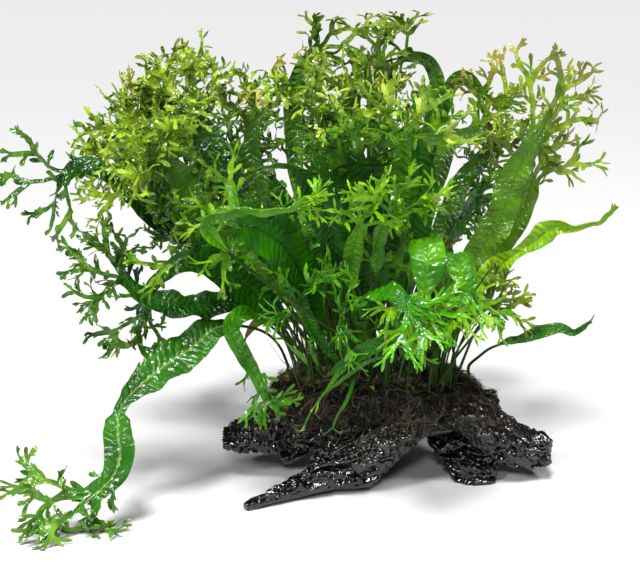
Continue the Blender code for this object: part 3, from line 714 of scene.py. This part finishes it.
BLUE_GREENS = ((0.002, 0.03, 0.001), (0.028, 0.145, 0.004))
LEAVES = {  # finish, deep and bright green, lace, its tips, midrib, and how wet
    "green": ("wet mature leaf", (0.002, 0.03, 0.0004), (0.036, 0.165, 0.0015),
              (0.075, 0.2, 0.004), (0.13, 0.11, 0.012), (0.015, 0.1, 0.0015), 0.4),
    "olive": ("olive lace", (0.005, 0.042, 0.0006), (0.05, 0.16, 0.002),
              (0.27, 0.41, 0.02), (0.42, 0.29, 0.06), (0.025, 0.1, 0.002), 0.95),
    "khaki": ("khaki lace", (0.01, 0.055, 0.0006), (0.085, 0.2, 0.002),
              (0.2, 0.27, 0.015), (0.27, 0.2, 0.05), (0.035, 0.12, 0.002), 0.75),
    "lime": ("young lime leaf", (0.015, 0.11, 0.001), (0.105, 0.31, 0.0015),
             (0.19, 0.4, 0.004), (0.28, 0.42, 0.012), (0.03, 0.17, 0.001), 0.5),
    "gold": ("yellow-green leaf", (0.05, 0.17, 0.001), (0.17, 0.34, 0.002),
             (0.2, 0.36, 0.004), (0.3, 0.36, 0.02), (0.09, 0.22, 0.001), 0.6),
    "fresh": ("fresh green shoot", (0.006, 0.07, 0.0005), (0.04, 0.22, 0.001),
              (0.09, 0.31, 0.002), (0.22, 0.4, 0.012), (0.02, 0.13, 0.001), 0.6),
    "crest": ("pale lime crest", (0.02, 0.12, 0.001), (0.1, 0.28, 0.002),
              (0.32, 0.45, 0.04), (0.46, 0.46, 0.1), (0.04, 0.2, 0.002), 0.7),
    "droop": ("drooping shoot", (0.006, 0.06, 0.0005), (0.03, 0.17, 0.0015),
              (0.05, 0.15, 0.002), (0.6, 0.6, 0.1), (0.02, 0.11, 0.001), 0.5),
    "blue": ("deep bluish leaf", *BLUE_GREENS,
             (0.075, 0.175, 0.01), (0.15, 0.18, 0.02), (0.008, 0.07, 0.002), 0.85),
    "pale": ("pale ribbed leaf", *BLUE_GREENS,
             (0.11, 0.24, 0.014), (0.18, 0.26, 0.025), (0.17, 0.28, 0.05), 0.85),
    # The shaded leaf is a darker copy of the green for fronds inside the plant: its darkness is painted
    # shade.
    "dark": ("shaded leaf", (0.001, 0.022, 0.0002), (0.016, 0.11, 0.0006),
             (0.12, 0.25, 0.006), (0.3, 0.22, 0.04), (0.002, 0.035, 0.0003), 0.25),
}
leaves = {name: leaf_finish(*values) for name, values in LEAVES.items()}
print(f"{len(leaves)} leaf finishes")

# %% [markdown]
# ## Habits
# Fronds of one plant differ by age and place. Old ones above the rest are olive and finely cut, those
# at the sides are broad and strongly quilted, and young ones in front are lime green with a loose
# crest. A habit holds these choices as a few numbers, and each frond has one.

# %% Habits
# curl: degrees a millimetre, lift: pull upwards, gap: millimetres between twigs, twig: their lengths,
# girth: width of the lace, lean: degrees of a twig to its arm, levels: forks of a twig, forks: of a
# tine, teeth: their chance, lobes: share of the blade below the first ones, quilt, wave and fold:
# heights on the blade, cell: millimetres between side veins, step: millimetres between rows.
Habit = namedtuple(
    "Habit", "finish curl lift gap twig girth lean levels forks teeth lobes quilt cell wave fold step"
)

OLIVE = Habit("olive", 14.0, 0.0, 3.8, (3, 6.5), 1.45, (25, 60), 2, 2, 0.25, 0.5, 0.7, 4.0, 1.1, 0.18, 1.5)
SPARSE = OLIVE._replace(
    finish="khaki", curl=7.0, gap=23, twig=(4, 8), levels=2, forks=2, teeth=0.15, lobes=0.95, girth=1.8
)
GREEN = Habit("green", 9.0, 0.0, 8.0, (3, 6.5), 1.35, (20, 50), 2, 3, 0.2, 0.8, 0.9, 4.2, 1.2, 0.15, 1.3)
LIME = Habit("lime", 9.0, 0.0, 9.0, (3, 6), 1.35, (20, 50), 2, 2, 0.3, 0.9, 1.2, 3.8, 1.5, 0.4, 1.2)
BLUE = Habit("blue", 9.0, -0.02, 10.0, (2.5, 6), 1.8, (25, 55), 2, 1, 0.4, 0.9, 1.3, 4.0, 1.6, 0.2, 1.1)
# DARK fronds wear the shaded leaf finish, whose darker green is painted shade.
DARK = Habit("dark", 7.0, 0.0, 9.0, (2.5, 5), 1.4, (20, 50), 1, 2, 0.1, 0.9, 0.12, 4.6, 0.7, 0.08, 1.4)
FINGERS = LIME._replace(
    curl=4.5, lift=-0.05, gap=9, twig=(5, 10), girth=1.15, lean=(12, 34), levels=1, forks=1, teeth=0,
    quilt=1.9, wave=1.3, fold=-0.12,
)
BARE = LIME._replace(levels=0, forks=0, wave=1.8)
REAR = OLIVE._replace(finish="green")
FRESH = LIME._replace(finish="fresh", gap=12, twig=(4, 8), curl=6.0, teeth=0.1, girth=1.2)

profiles = {  # (share of the length, half width) from the foot to the crest
    "frond_trailing": ((0, 0.9), (0.24, 1), (0.33, 6), (0.45, 10.5), (0.6, 9.5), (0.68, 5),
                       (0.7, 3.4), (0.745, 3.2), (0.765, 6.5), (0.86, 8), (0.95, 5.5), (1, 5)),
    "frond_near_strap": ((0, 0.9), (0.66, 1), (0.76, 4), (0.9, 4.4), (1, 2.5)),
    "frond_long_right": ((0, 0.9), (0.3, 1), (0.42, 5), (0.52, 7.5), (0.62, 2.8), (0.67, 3.2),
                         (0.78, 6.6), (0.9, 2.2), (1, 1.4)),
    "frond_low_right": ((0, 0.9), (0.36, 1), (0.48, 3.4), (0.56, 2.2), (0.72, 4.2), (0.9, 2.8), (1, 2)),
    "frond_hanging_left": ((0, 0.9), (0.32, 1), (0.44, 3.4), (0.54, 5), (0.68, 4.6), (0.84, 4.2), (1, 2.4)),
    "frond_young_arch_1": ((0, 0.9), (0.4, 1), (0.55, 4), (0.66, 6.5), (0.76, 9), (0.86, 9),
                           (0.95, 6), (1, 3)),
    "frond_young_arch_2": ((0, 0.9), (0.42, 1), (0.56, 3.5), (0.68, 6), (0.8, 8.5), (0.9, 8),
                           (0.97, 5), (1, 3)),
    "frond_oval": ((0, 0.9), (0.48, 1), (0.6, 6.5), (0.78, 9.5), (0.92, 7), (0.98, 3), (1, 1.6)),
    "frond_young_leaf_1": ((0, 0.8), (0.55, 0.9), (0.7, 4.5), (0.85, 5), (1, 3)),
    "frond_young_leaf_2": ((0, 0.8), (0.6, 0.9), (0.75, 4), (0.9, 4.4), (1, 3)),
}

own_habits = {
    "trailing": BLUE._replace(finish="pale", gap=11, forks=1),
    "far_left": BLUE._replace(gap=13, levels=1),
    "low_left": BLUE, "hanging_lace": BLUE, "near_strap": LIME, "broad_fold": GREEN, "low_front": FRESH,
    "hanging_left": GREEN._replace(gap=9, twig=(2, 4), forks=1),
    "top_curl": SPARSE, "top_slim": SPARSE, "top_antler": SPARSE, "top_arch": SPARSE,
    "lime_crest": SPARSE._replace(finish="crest"),
    "young_arch_1": FINGERS, "young_arch_2": FINGERS, "young_low": FINGERS._replace(finish="fresh"),
    # broad_left to star_4, and the oval below, wear the dark finish: a green darkened as painted shade.
    "broad_left": DARK, "dark_left": DARK, "broad_middle": DARK, "broad_right": DARK, "star_4": DARK,
    "oval": BARE._replace(finish="dark", wave=1.2),
    "long_right": BARE._replace(finish="gold"), "low_right": BARE._replace(finish="green"),
    "spear": BARE._replace(finish="olive", wave=0.6),
}
kinds = {"upper": OLIVE, "top": OLIVE, "rear": REAR, "right": SPARSE, "young": LIME, "star": FRESH}
habits = {}
for name in frond_names:
    short = name.removeprefix("frond_")
    habits[name] = own_habits[short] if short in own_habits else kinds[short.split("_")[0]]
print(f"{len(habits)} habits")

# %% [markdown]
# ## The fronds
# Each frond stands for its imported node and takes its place. The flat sheet of blade and lace gets its
# thickness at the very end, half to each side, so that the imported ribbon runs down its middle.

# %% Fronds
LEAF_THICKNESS = 0.35
RIM_ANGLE = math.radians(60)  # a leaf's rim stays crisp
SPARE = Vector((7.5, 6.0, 3.5))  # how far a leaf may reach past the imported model, in millimetres
lowest_corner = Vector(cad_box[0]) / MM - SPARE
highest_corner = Vector(cad_box[1]) / MM + SPARE
lowest_corner.z = 0.4
LOW_GIVE = (6.0, 6.0, 1.5)  # how far before a limit a leaf begins to bend back
HIGH_GIVE = (6.0, 6.0, 14.0)


def held_in(place):
    """The place, eased towards the limits of the model so that the tips there don't end in a plane."""
    for axis in range(3):
        for limit, give, side in ((lowest_corner, LOW_GIVE, -1), (highest_corner, HIGH_GIVE, 1)):
            over = side * (place[axis] - limit[axis]) + give[axis]
            if over > 0:
                place[axis] = limit[axis] - side * give[axis] * math.exp(-over / give[axis])
    return place


def columns_for(spine):
    """Columns of the blade's grid: enough for each arm to start with as many, more on a broad blade."""
    arms = max(1, len(spine.arms))
    widest = max(half.length for half in spine.halves)
    return arms * (4 if arms <= 3 and widest > 6 else 2)


def give_thickness(bm):
    """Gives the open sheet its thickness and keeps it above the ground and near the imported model."""
    bmesh.ops.recalc_face_normals(bm, faces=bm.faces)
    bm.normal_update()
    for vertex in bm.verts:
        vertex.co = held_in(vertex.co.copy()) + vertex.normal * (LEAF_THICKNESS / 2)
    bmesh.ops.solidify(bm, geom=list(bm.faces), thickness=LEAF_THICKNESS)
    bmesh.ops.recalc_face_normals(bm, faces=bm.faces)


def add_lobes(bm, rows, lines, habit, draws):
    """Twigs along the upper margins of a blade."""
    due = {-1: draws.uniform(0, 6), 1: draws.uniform(0, 6)}
    tips = [Tip(line, row.way, row.wide, 1) for line, row in zip(lines, rows)]
    for number in range(round(len(rows) * habit.lobes), len(rows) - 1):
        for side in due:
            due[side] -= rows[number + 1].along - rows[number].along
            if due[side] < 0 and habit.levels:
                due[side] = habit.gap * draws.uniform(1.0, 2.2)
                lean = math.radians(draws.uniform(30, 55))
                lobe = side_tip(tips[number], tips[number + 1], side, lean)
                length, girth = draws.uniform(*habit.twig) * 0.9, habit.girth * draws.uniform(0.7, 1.3)
                grow_twig(bm, lobe, length, girth, habit.levels - 1, habit, draws)


def finish_piece(name, bm, material, nodes):
    """Makes the piece an object in metres that stands for its nodes."""
    bmesh.ops.scale(bm, vec=(MM, MM, MM), verts=bm.verts)
    faces = len(bm.faces)
    piece = new_object(name, bm, material)
    piece.data.shade_smooth()
    piece.data.set_sharp_from_angle(angle=RIM_ANGLE)
    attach(piece, "root")
    if nodes:
        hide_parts(*nodes)
    return faces


def make_frond(name):
    """Grows one frond and gives its count of faces."""
    draws = random.Random(name)
    spine, habit = spines[name], habits[name]
    rows = rows_along(spine, habit.step, 1.4, draws, profiles.get(name))
    base = next(k for k, row in enumerate(rows) if row.half > BLADE_FROM)
    tone = draws.uniform(-0.18, 0.18)
    bm, lines = lay_blade(rows[base:], columns_for(spine), habit, draws)
    add_lobes(bm, rows[base:], lines, habit, draws)
    grow_crest(bm, lines[-1], rows[-1], spine, habit, draws)
    for vertex in bm.verts:
        vertex[bm.verts.layers.float["tone"]] = tone
    give_thickness(bm)
    add_stalk(bm, rows, base, tone)
    return finish_piece(name.replace("frond", "leaf"), bm, leaves[habit.finish], [name])


face_counts = {name: make_frond(name) for name in frond_names}
print(f"{sum(face_counts.values())} faces in {len(face_counts)} fronds, most {max(face_counts.values())}")

# %% [markdown]
# ## Driftwood
# The wood is one branching root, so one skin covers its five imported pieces. They are merged, swollen
# by a quarter of a millimetre until they touch, and remeshed into even faces. Long ridges follow the
# grain of each limb: noise is squeezed across the limb's own axis, and where two limbs meet, their
# ridges are mixed by nearness. Pits and knobs break the ridges up, as water and rot do.

# %% Driftwood
WOOD_VOXEL = 0.8
WOOD_SWELL = 0.25
WOOD_FOOT = 9  # the grain grows to its full height over this height from the ground
RIDGES = ((34, 5.2, -1, 3.1), (20, 2.3, 1, 1.5))  # length, width, way they bend and height
LIMB_REACH = 5  # over this distance a limb's grain gives way to that of the next
WET_WOOD_IOR = 1.6
Limb = namedtuple("Limb", "tree axis side up")


def evaluated(holder):
    """The mesh of an object with its modifiers applied. The object itself is taken away."""
    bpy.context.view_layer.update()
    graph = bpy.context.evaluated_depsgraph_get()
    mesh = bpy.data.meshes.new_from_object(holder.evaluated_get(graph))
    bpy.data.objects.remove(holder)
    return mesh


def one_skin(name, nodes, swell, voxel):
    """The nodes' closed bodies as one skin of even faces, in millimetres."""
    bm = merged(*nodes)
    bm.normal_update()
    for vertex in bm.verts:
        vertex.co += vertex.normal * swell
    holder = new_object(name, bm, plain_finish("skin", (0.1, 0.1, 0.1), 0.5))
    remesh = holder.modifiers.new("even faces", "REMESH")
    remesh.mode = "VOXEL"
    remesh.voxel_size = voxel
    bm = bmesh.new()
    bm.from_mesh(evaluated(holder))
    bmesh.ops.smooth_vert(bm, verts=bm.verts, factor=0.5, use_axis_x=True, use_axis_y=True, use_axis_z=True)
    bm.normal_update()
    return bm


def limb_of(node):
    """A limb's surface and its own axes, the first along its length."""
    bm = merged(node)
    middle = middle_of(bm.verts)
    axes = np.linalg.svd(np.array([v.co - middle for v in bm.verts]), full_matrices=False)[2]
    limb = Limb(BVHTree.FromBMesh(bm), *(Vector(axis) for axis in axes))
    bm.free()
    return limb


def ridges(place, limb):
    """Height of the grain at a place on a limb: sharp long ridges, and finer ones between them."""
    along, across, up = place.dot(limb.axis), place.dot(limb.side), place.dot(limb.up)
    bend = noise.noise(place / 17) * 3.5
    total = 0
    for length, width, sign, height in RIDGES:
        grain = noise.noise(Vector((along / length, (across + bend) / width, (up + sign * bend) / width)))
        total += height * (0.5 - abs(grain) * 2.2)
    return total


def lay_bare(bm, limbs):
    """Moves the skin of the wood out and in along its normals, and keeps its base on the ground."""
    height, worn = bm.verts.layers.float.new("height"), bm.verts.layers.float.new("worn")
    for vertex in bm.verts:
        place = vertex.co.copy()
        shares = [math.exp(-limb.tree.find_nearest(place)[3] / LIMB_REACH) for limb in limbs]
        grain = sum(share * ridges(place, limb) for share, limb in zip(shares, limbs)) / sum(shares)
        lumps = noise.noise(place / 11) * 1.3
        pits = min(0, noise.noise(place / 4.2 + UP * 30) + 0.12) * 1.4
        patch = min(1, max(0.15, 0.55 + noise.noise(place / 24 + UP * 9) * 1.6))
        patch *= min(1, max(0, vertex.normal.z + 0.45))
        knobs = max(0, 0.6 - noise.voronoi(place / 4.4)[0][0]) * 2.4 * patch - 0.4
        # The height layer also tells the finish where to paint shade into the grooves and pits.
        vertex[height] = grain + pits + knobs * 0.8
        vertex[worn] = min(1, max(0.35, 0.65 + vertex.normal.z * 0.9))
        share = min(1, max(0, place.z - 0.4) / WOOD_FOOT)
        vertex.co += vertex.normal * ((grain + lumps + pits + knobs) * share)
        vertex.co.z = max(0, vertex.co.z)


def wood_finish():
    """Nearly black wet wood, browner on its ridges, with painted shade that turns its grooves and pits
    almost black.
    """
    material = plain_finish("wet driftwood", (0.02, 0.012, 0.01), 0.3)
    tree = material.node_tree
    height = between(tree, layer_value(tree, "height"), -1.2, 0.9)
    spots = between(tree, speckle(tree, 60, 4), 0.4, 0.7)
    patches = blend(tree, spots, (0.002, 0.0014, 0.0012), (0.011, 0.0065, 0.005))
    # Painted shade: the lower the grain, the nearer to black, so the grooves and pits are darkened as if
    # shade lay in them.
    colour = blend(tree, height, (0.0005, 0.0004, 0.0004), patches)
    roughness = between(tree, speckle(tree, 300, 3), 0.35, 0.7, 0.4, 0.7)
    fill(tree, tree.nodes["Principled BSDF"], {"Base Color": colour, "Roughness": roughness})
    furrows = times(tree, creases(tree, 110, 0, (0.35, 1, 1)), 6.0)
    rough = times(tree, add(tree, furrows, creases(tree, 260, 0)), layer_value(tree, "worn"))
    add_film(tree, rough, 0.002, 0.09, ior=WET_WOOD_IOR)
    return material


wood_nodes = nodes_named("driftwood")
wood = one_skin("wood", wood_nodes, WOOD_SWELL, WOOD_VOXEL)
lay_bare(wood, [limb_of(node) for node in wood_nodes])
print(finish_piece("driftwood", wood, wood_finish(), wood_nodes), "faces of wood")

# %% [markdown]
# ## The mat of roots
# Java fern holds on with hair-like roots that felt together into a dark mat. The mat's own body is
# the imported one, remeshed and made lumpy. Fibres lie over it: one straight thin tube, copied by an
# Array modifier, whose copies are then bent. Each follows its own random walk close to the mat and
# the wood, and some stand off as curls, so that the mat's outline is fuzzy.

# %% Root mat
FIBRES = 2700
WISPS = 420
FIBRE_RINGS = 11
FIBRE_SIDES = 3
STAND_OFF = (0.4, 0.9, 1.5, 2.2, 3.2)  # how high the middle of a fibre may stand
FIBRE_SHADES = (-0.3, -0.3, -0.15, 0, 0.3)
MAT_REACH = Vector((66, 43, 24))
OVER_ALL = 200  # a height above the plant, to look down from


def root_finish(name, dark, light, roughness, wetness=0.6):
    """Dark and light patches; on fibres the light ones are those with a high shade."""
    material = plain_finish(name, dark, roughness)
    tree = material.node_tree
    patches = add(tree, speckle(tree, 170, 4), layer_value(tree, "shade"))
    colour = blend(tree, between(tree, patches, 0.45, 0.7), dark, light)
    fill(tree, tree.nodes["Principled BSDF"], {"Base Color": colour})
    add_film(tree, creases(tree, 700), 0.0012, 0.15, wetness)
    return material


def slide(start, heading, step, turn, swing, sag, rise):
    """A fibre's centres: steps along the mat and down it, each lifted by what rise gives for its ring."""
    place, normal, _, _ = mat_tree.find_nearest(start)
    centres = []
    for ring in range(FIBRE_RINGS):
        heading = Quaternion(normal, turn + draws.gauss(0, swing)) @ heading - UP * sag
        heading = (heading - normal * heading.dot(normal)).normalized()
        place, normal, _, _ = mat_tree.find_nearest(place + heading * step)
        centres.append(place + normal * rise(ring))
    return centres


def root_walk(start):
    """A random walk that keeps near the mat, and stands off it most at its middle."""
    heading = Vector((draws.gauss(0, 1), draws.gauss(0, 1), 0))
    step, stand, turn = draws.uniform(1.1, 3.0), draws.choice(STAND_OFF), draws.gauss(0, 0.45)

    def rise(ring):
        return 0.2 + stand * math.sin(math.pi * (ring + 0.5) / FIBRE_RINGS) * draws.uniform(0.6, 1.3)

    return slide(start, heading, step, turn, 0.35, 0.18, rise)


def copied(name, bm, count, material):
    """The bmesh's shape copied count times in one mesh, with an Array modifier."""
    holder = new_object(name, bm, material)
    array = holder.modifiers.new("copies", "ARRAY")
    array.count = count
    array.use_relative_offset = False
    return evaluated(holder)


def bend_copies(mesh, walks, radii):
    """Bends each straight copy onto its own centres."""
    places = np.empty(len(mesh.vertices) * 3)
    mesh.vertices.foreach_get("co", places)
    places = places.reshape(len(walks), -1, 3)
    rings = np.rint(places[0, :, 2]).astype(int)
    rims = places[0, :, :2].copy()
    for number, (walk, radius) in enumerate(zip(walks, radii)):
        centres = np.array(walk)
        ways = np.gradient(centres, axis=0)
        ways /= np.linalg.norm(ways, axis=1, keepdims=True) + 1e-9
        sides = np.cross(ways, (0.31, 0.87, 0.38))
        sides /= np.linalg.norm(sides, axis=1, keepdims=True) + 1e-9
        ups = np.cross(ways, sides)
        thin = radius * (1 - 0.6 * np.linspace(0, 1, len(centres)) ** 2)
        spread = sides[rings] * rims[:, :1] + ups[rings] * rims[:, 1:]
        places[number] = centres[rings] + spread * thin[rings, None]
    mesh.vertices.foreach_set("co", places.ravel())
    shade = np.repeat([draws.choice(FIBRE_SHADES) for walk in walks], len(rings))
    mesh.attributes.new("shade", "FLOAT", "POINT").data.foreach_set("value", shade)


def make_fibres(name, walks, radii, material):
    """All the fibres as one piece."""
    straight = bmesh.new()
    roll_tube(straight, [UP * ring for ring in range(FIBRE_RINGS)], [1] * FIBRE_RINGS, FIBRE_SIDES)
    mesh = copied(name, straight, len(walks), material)
    bend_copies(mesh, walks, radii)
    bm = bmesh.new()
    bm.from_mesh(mesh)
    bmesh.ops.recalc_face_normals(bm, faces=bm.faces)
    return finish_piece(name, bm, material, [])


def top_of_mat(x, y):
    return mat_tree.ray_cast(Vector((x, y, OVER_ALL)), -UP)[0]


def wisp(start):
    """A fibre that stands up from the mat beside the stalks, and waves about."""
    seed = somewhere(draws)
    lean = Vector((draws.gauss(0, 0.35), draws.gauss(0, 0.35), 1))
    step = draws.uniform(0.8, 1.9)
    stray = [noise.noise_vector(seed + UP * (ring / 3)) * 3.2 for ring in range(FIBRE_RINGS)]
    return [start + lean * (step * ring) + stray[ring] - stray[0] for ring in range(FIBRE_RINGS)]


mat = one_skin("mat", ["root_mat"], 0.0, 1.1)
for vertex in mat.verts:
    lumps = noise.noise(vertex.co / 7) * 2.6 + noise.noise(vertex.co / 2.5) * 2.0
    vertex.co += vertex.normal * lumps
mat_middle = middle_of(mat.verts)
whole = mat.copy()
rhizome_nodes = nodes_named("rhizome")
for node in wood_nodes + rhizome_nodes:
    part = merged(node)
    mesh = bpy.data.meshes.new("part")
    part.to_mesh(mesh)
    whole.from_mesh(mesh)
    part.free()
mat_tree = BVHTree.FromBMesh(whole)
whole.free()
felt = root_finish("felted roots", (0.0006, 0.0005, 0.0003), (0.006, 0.005, 0.002), 0.7, 0.25)
print(finish_piece("mat_of_roots", mat, felt, ["root_mat"]), "faces of mat")

draws = random.Random("roots")
walks = []
for number in range(FIBRES):
    angle, out = draws.uniform(0, 2 * math.pi), draws.random() ** 0.45
    lift = Vector((math.cos(angle) * out, math.sin(angle) * out, draws.uniform(-0.6, 1.0)))
    walks.append(root_walk(mat_middle + lift * MAT_REACH))
for number in range(WISPS):
    angle, out = draws.uniform(0, 2 * math.pi), draws.random() ** 0.5
    x, y = mat_middle.x - 5 + math.cos(angle) * out * 40, mat_middle.y + math.sin(angle) * out * 28
    walks.append(wisp(top_of_mat(x, y) - UP))
hair = root_finish("root fibres", (0.001, 0.0008, 0.0005), (0.11, 0.085, 0.04), 0.4, 0.8)
radii = [draws.uniform(0.08, 0.2) for walk in walks]
print(make_fibres("root_fibres", walks, radii, hair), "faces of fibres")

# %% [markdown]
# ## Draped roots
# The mat has no sharp lower edge: its roots run on down over the wood. These fibres start along its
# front and side edges and slide down close to the wood, so that they cover the seam between the two.

# %% Draped roots
DRAPED = 1300
DRAPED_REACH = (68, 45)


def draped_walk(start):
    """A fibre that runs mostly straight down over the wood."""
    heading = Vector((draws.gauss(0, 0.5), draws.gauss(0, 0.2), -1))
    step = draws.uniform(0.9, 2.6)
    return slide(start, heading, step, 0, 0.3, 0.1, lambda ring: 0.15 + draws.uniform(0, 1.3))


walks = []
for number in range(DRAPED):
    angle = draws.uniform(0.9, 2.1) * math.pi
    x, y = math.cos(angle) * DRAPED_REACH[0], math.sin(angle) * DRAPED_REACH[1]
    rim = Vector((x, y, draws.uniform(-14, 12)))
    walks.append(draped_walk(mat_middle + rim))
radii = [draws.uniform(0.07, 0.17) for walk in walks]
print(make_fibres("draped_roots", walks, radii, hair), "faces of draped roots")

# %% [markdown]
# ## Rhizomes
# A rhizome is the creeping stem that all the fronds come from. It is knobbly with old leaf scars and
# green where it is young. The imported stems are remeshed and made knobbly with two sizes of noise.

# %% Rhizomes
rhizome_skin = root_finish("rhizome skin", (0.003, 0.003, 0.001), (0.08, 0.09, 0.01), 0.5)
for node in rhizome_nodes:
    stem = one_skin("stem", [node], 0.0, 0.9)
    for vertex in stem.verts:
        knobs = noise.noise(vertex.co / 4) * 1.3 + noise.noise(vertex.co / 1.6) * 0.5
        vertex.co += vertex.normal * knobs
    piece = node.replace("rhizome", "creeping_stem")
    print(piece, finish_piece(piece, stem, rhizome_skin, [node]), "faces")

# %% [markdown]
# ## Buds and small shoots
# New fronds start as yellow-green buds among the roots, and young shoots stand between the stalks of
# the old fronds. A bud is a small ball, pulled longer and made uneven. A shoot is a narrow ribbon that
# is grown from a single edge with the same functions as the lace.

# %% Buds and shoots
BUDS = 60
SHOOTS = 20  # of each kind
SHOOT_STEP = 3.2
SHOOT_FOOT = 0.45  # half width
SPROUT = LIME._replace(levels=1, twig=(2, 5), gap=9, girth=0.8)


def make_buds(draws):
    """All the buds as one bmesh."""
    bm = bmesh.new()
    for number in range(BUDS):
        angle, out = draws.uniform(math.pi, 2.2 * math.pi), draws.uniform(0.55, 1.0)
        x, y = mat_middle.x + math.cos(angle) * out * 52, mat_middle.y + math.sin(angle) * out * 31
        place, size = top_of_mat(x, y), draws.uniform(0.6, 1.5)
        ball = bmesh.ops.create_icosphere(bm, subdivisions=2, radius=1)["verts"]
        turn = Euler((draws.uniform(-1, 1), draws.uniform(-1, 1), 0)).to_quaternion()
        for vertex in ball:
            vertex.co *= size * (1 + 0.6 * noise.noise(vertex.co * 1.7 + place))
            vertex.co.z *= draws.uniform(1.35, 1.5)
            vertex.co = place + turn @ vertex.co
    return bm


def grow_shoot(bm, points, half, widest, draws):
    """A narrow young leaf through these points, which forks at its end. It is widest at a share of it."""
    way = (points[1] - points[0]).normalized()
    wide = Quaternion(way, draws.uniform(-0.8, 0.8)) @ way.cross(Vector((0, 1, 0.3))).normalized()
    pair = [bm.verts.new(points[0] + wide * (SHOOT_FOOT * side)) for side in (-1, 1)]
    bm.edges.new(pair)
    count = len(points)
    shape = [SHOOT_FOOT + half * max(0, 1 - ((k / count - widest) / 0.35) ** 2) for k in range(1, count)]
    foot = Tip(pair, way, wide, SHOOT_FOOT)
    tip = follow(bm, foot, points[1:], shape, SPROUT._replace(levels=0), draws)
    forks = draws.choice((1, 2)) if widest > 0.5 else 1
    grow_twig(bm, tip, 7 * widest, 1.3 * widest, forks, SPROUT, draws)


def shoot_points(start, length, lean, droop, draws):
    """A shoot's centres: up from the mat, leaning out, and drooping towards its end."""
    seed = somewhere(draws)
    way, place, points = (UP + lean).normalized(), start - UP * 1.5, []
    for number in range(round(length / SHOOT_STEP) + 1):
        points.append(place + noise.noise_vector(seed + UP * (number / 5)) * 1.5)
        way = (way - UP * droop * number / 10 + lean * 0.05).normalized()
        place = place + way * SHOOT_STEP
    return points


def lean_from_middle(start, ease, spread):
    """How a stem leans: away from the middle of the mat, less so with more ease, and a little at random."""
    out = Vector((start.x - mat_middle.x, start.y - mat_middle.y, 0)) / ease
    return out + Vector((draws.gauss(0, spread), draws.gauss(0, spread), 0))


draws = random.Random("shoots")
bud_skin = root_finish("buds", (0.03, 0.04, 0.003), (0.22, 0.26, 0.02), 0.35)
print(finish_piece("rhizome_buds", make_buds(draws), bud_skin, []), "faces of buds")
SHOOT_KINDS = (  # finish, slot, half widths, lengths, y on the mat
    ("green", "mature_frond", (0.4, 1.5), (26, 58), (-30, 10)),
    ("fresh", "young_frond", (0.4, 1.0), (18, 44), (-30, -5)),
    # The broad rear shoots wear the shaded leaf, a dark green that is painted shade behind the stalks.
    ("dark", "mature_frond", (2.5, 5.0), (45, 80), (0, 26)),
)
for finish, slot, halves, lengths, depths in SHOOT_KINDS:
    shoots = bmesh.new()
    add_layers(shoots)
    for number in range(SHOOTS):
        start = top_of_mat(draws.uniform(-40, 26), draws.uniform(*depths))
        lean = lean_from_middle(start, 140, 0.15)
        points = shoot_points(start, draws.uniform(*lengths), lean, draws.uniform(0, 0.1), draws)
        grow_shoot(shoots, points, draws.uniform(*halves), 0.65, draws)
    give_thickness(shoots)
    name = f"{finish}_shoots"
    print(name, finish_piece(name, shoots, leaves[finish], []), "faces")

# %% [markdown]
# ## Small stalks
# Between the stalks of the big fronds stand the thin ones of fronds that are hidden in the tangle. Each
# is a tube along a leaning curve, which ends inside the leaves.

# %% Small stalks
STALKS = 90
STEM_SIDES = 5
stalks = bmesh.new()
stem_layer = add_layers(stalks)[LAYERS.index("stalk")]
for number in range(STALKS):
    start = top_of_mat(draws.uniform(-50, 36), draws.uniform(-34, 22))
    lean = lean_from_middle(start, 230, 0.1)
    centres = shoot_points(start, draws.uniform(42, 72), lean, 0.02, draws)
    radius = draws.uniform(0.45, 0.9)
    radii = [radius * (1 - 0.3 * k / len(centres)) for k in range(len(centres))]
    for vertex in roll_tube(stalks, centres, radii, STEM_SIDES):
        vertex[stem_layer] = draws.choice((0.7, 1.0, 1.0))
print(finish_piece("small_stalks", stalks, leaves["green"], []), "faces of stalks")

# %% [markdown]
# ## Drooping shoots
# Three thin leaves hang over the front of the mat and the wood. Each is given the points that it
# passes, from its root to its pale forked end, and its half width.

# %% Drooping shoots
PALE_END = 4  # millimetres
DROOPING = (
    (((7, -47, 89), (0, -50, 87), (-9, -53, 84), (-18, -55, 79), (-27, -56, 73),
      (-34, -57, 63), (-42, -58, 52), (-46, -58, 43)), 1.5),
    (((2, -46, 78), (-7, -50, 78), (-14, -53, 76), (-22, -55, 71), (-30, -56, 65),
      (-37, -57, 59), (-39, -57, 53)), 0.9),
    (((-20, -45, 68), (-20, -51, 66), (-22, -54, 60), (-25, -56, 54), (-28, -57, 50),
      (-30, -57, 45)), 0.6),
)
hanging = bmesh.new()
add_layers(hanging)
for path, half in DROOPING:
    points = [on_curve([Vector(p) for p in path], k * 0.5) for k in range(2 * len(path) - 1)]
    grow_shoot(hanging, points, half, 0.35, draws)
ends = [Vector(path[-1]) for path, half in DROOPING]
for vertex in hanging.verts:
    near_end = min((vertex.co - end).length for end in ends) < PALE_END
    vertex[hanging.verts.layers.float["lace"]] *= 1 if near_end else 0.4
give_thickness(hanging)
faces = finish_piece("drooping_shoots", hanging, leaves["droop"], [])
print(faces, "faces of drooping shoots")

# %% [markdown]
# ## Size
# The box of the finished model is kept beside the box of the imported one.

# %% Size
whole_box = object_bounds()
for side, packed, grown in zip(("lowest", "highest"), cad_box, whole_box):
    print(f"{side} corner moved by {[round((b - a) / MM, 1) for a, b in zip(packed, grown)]} mm")
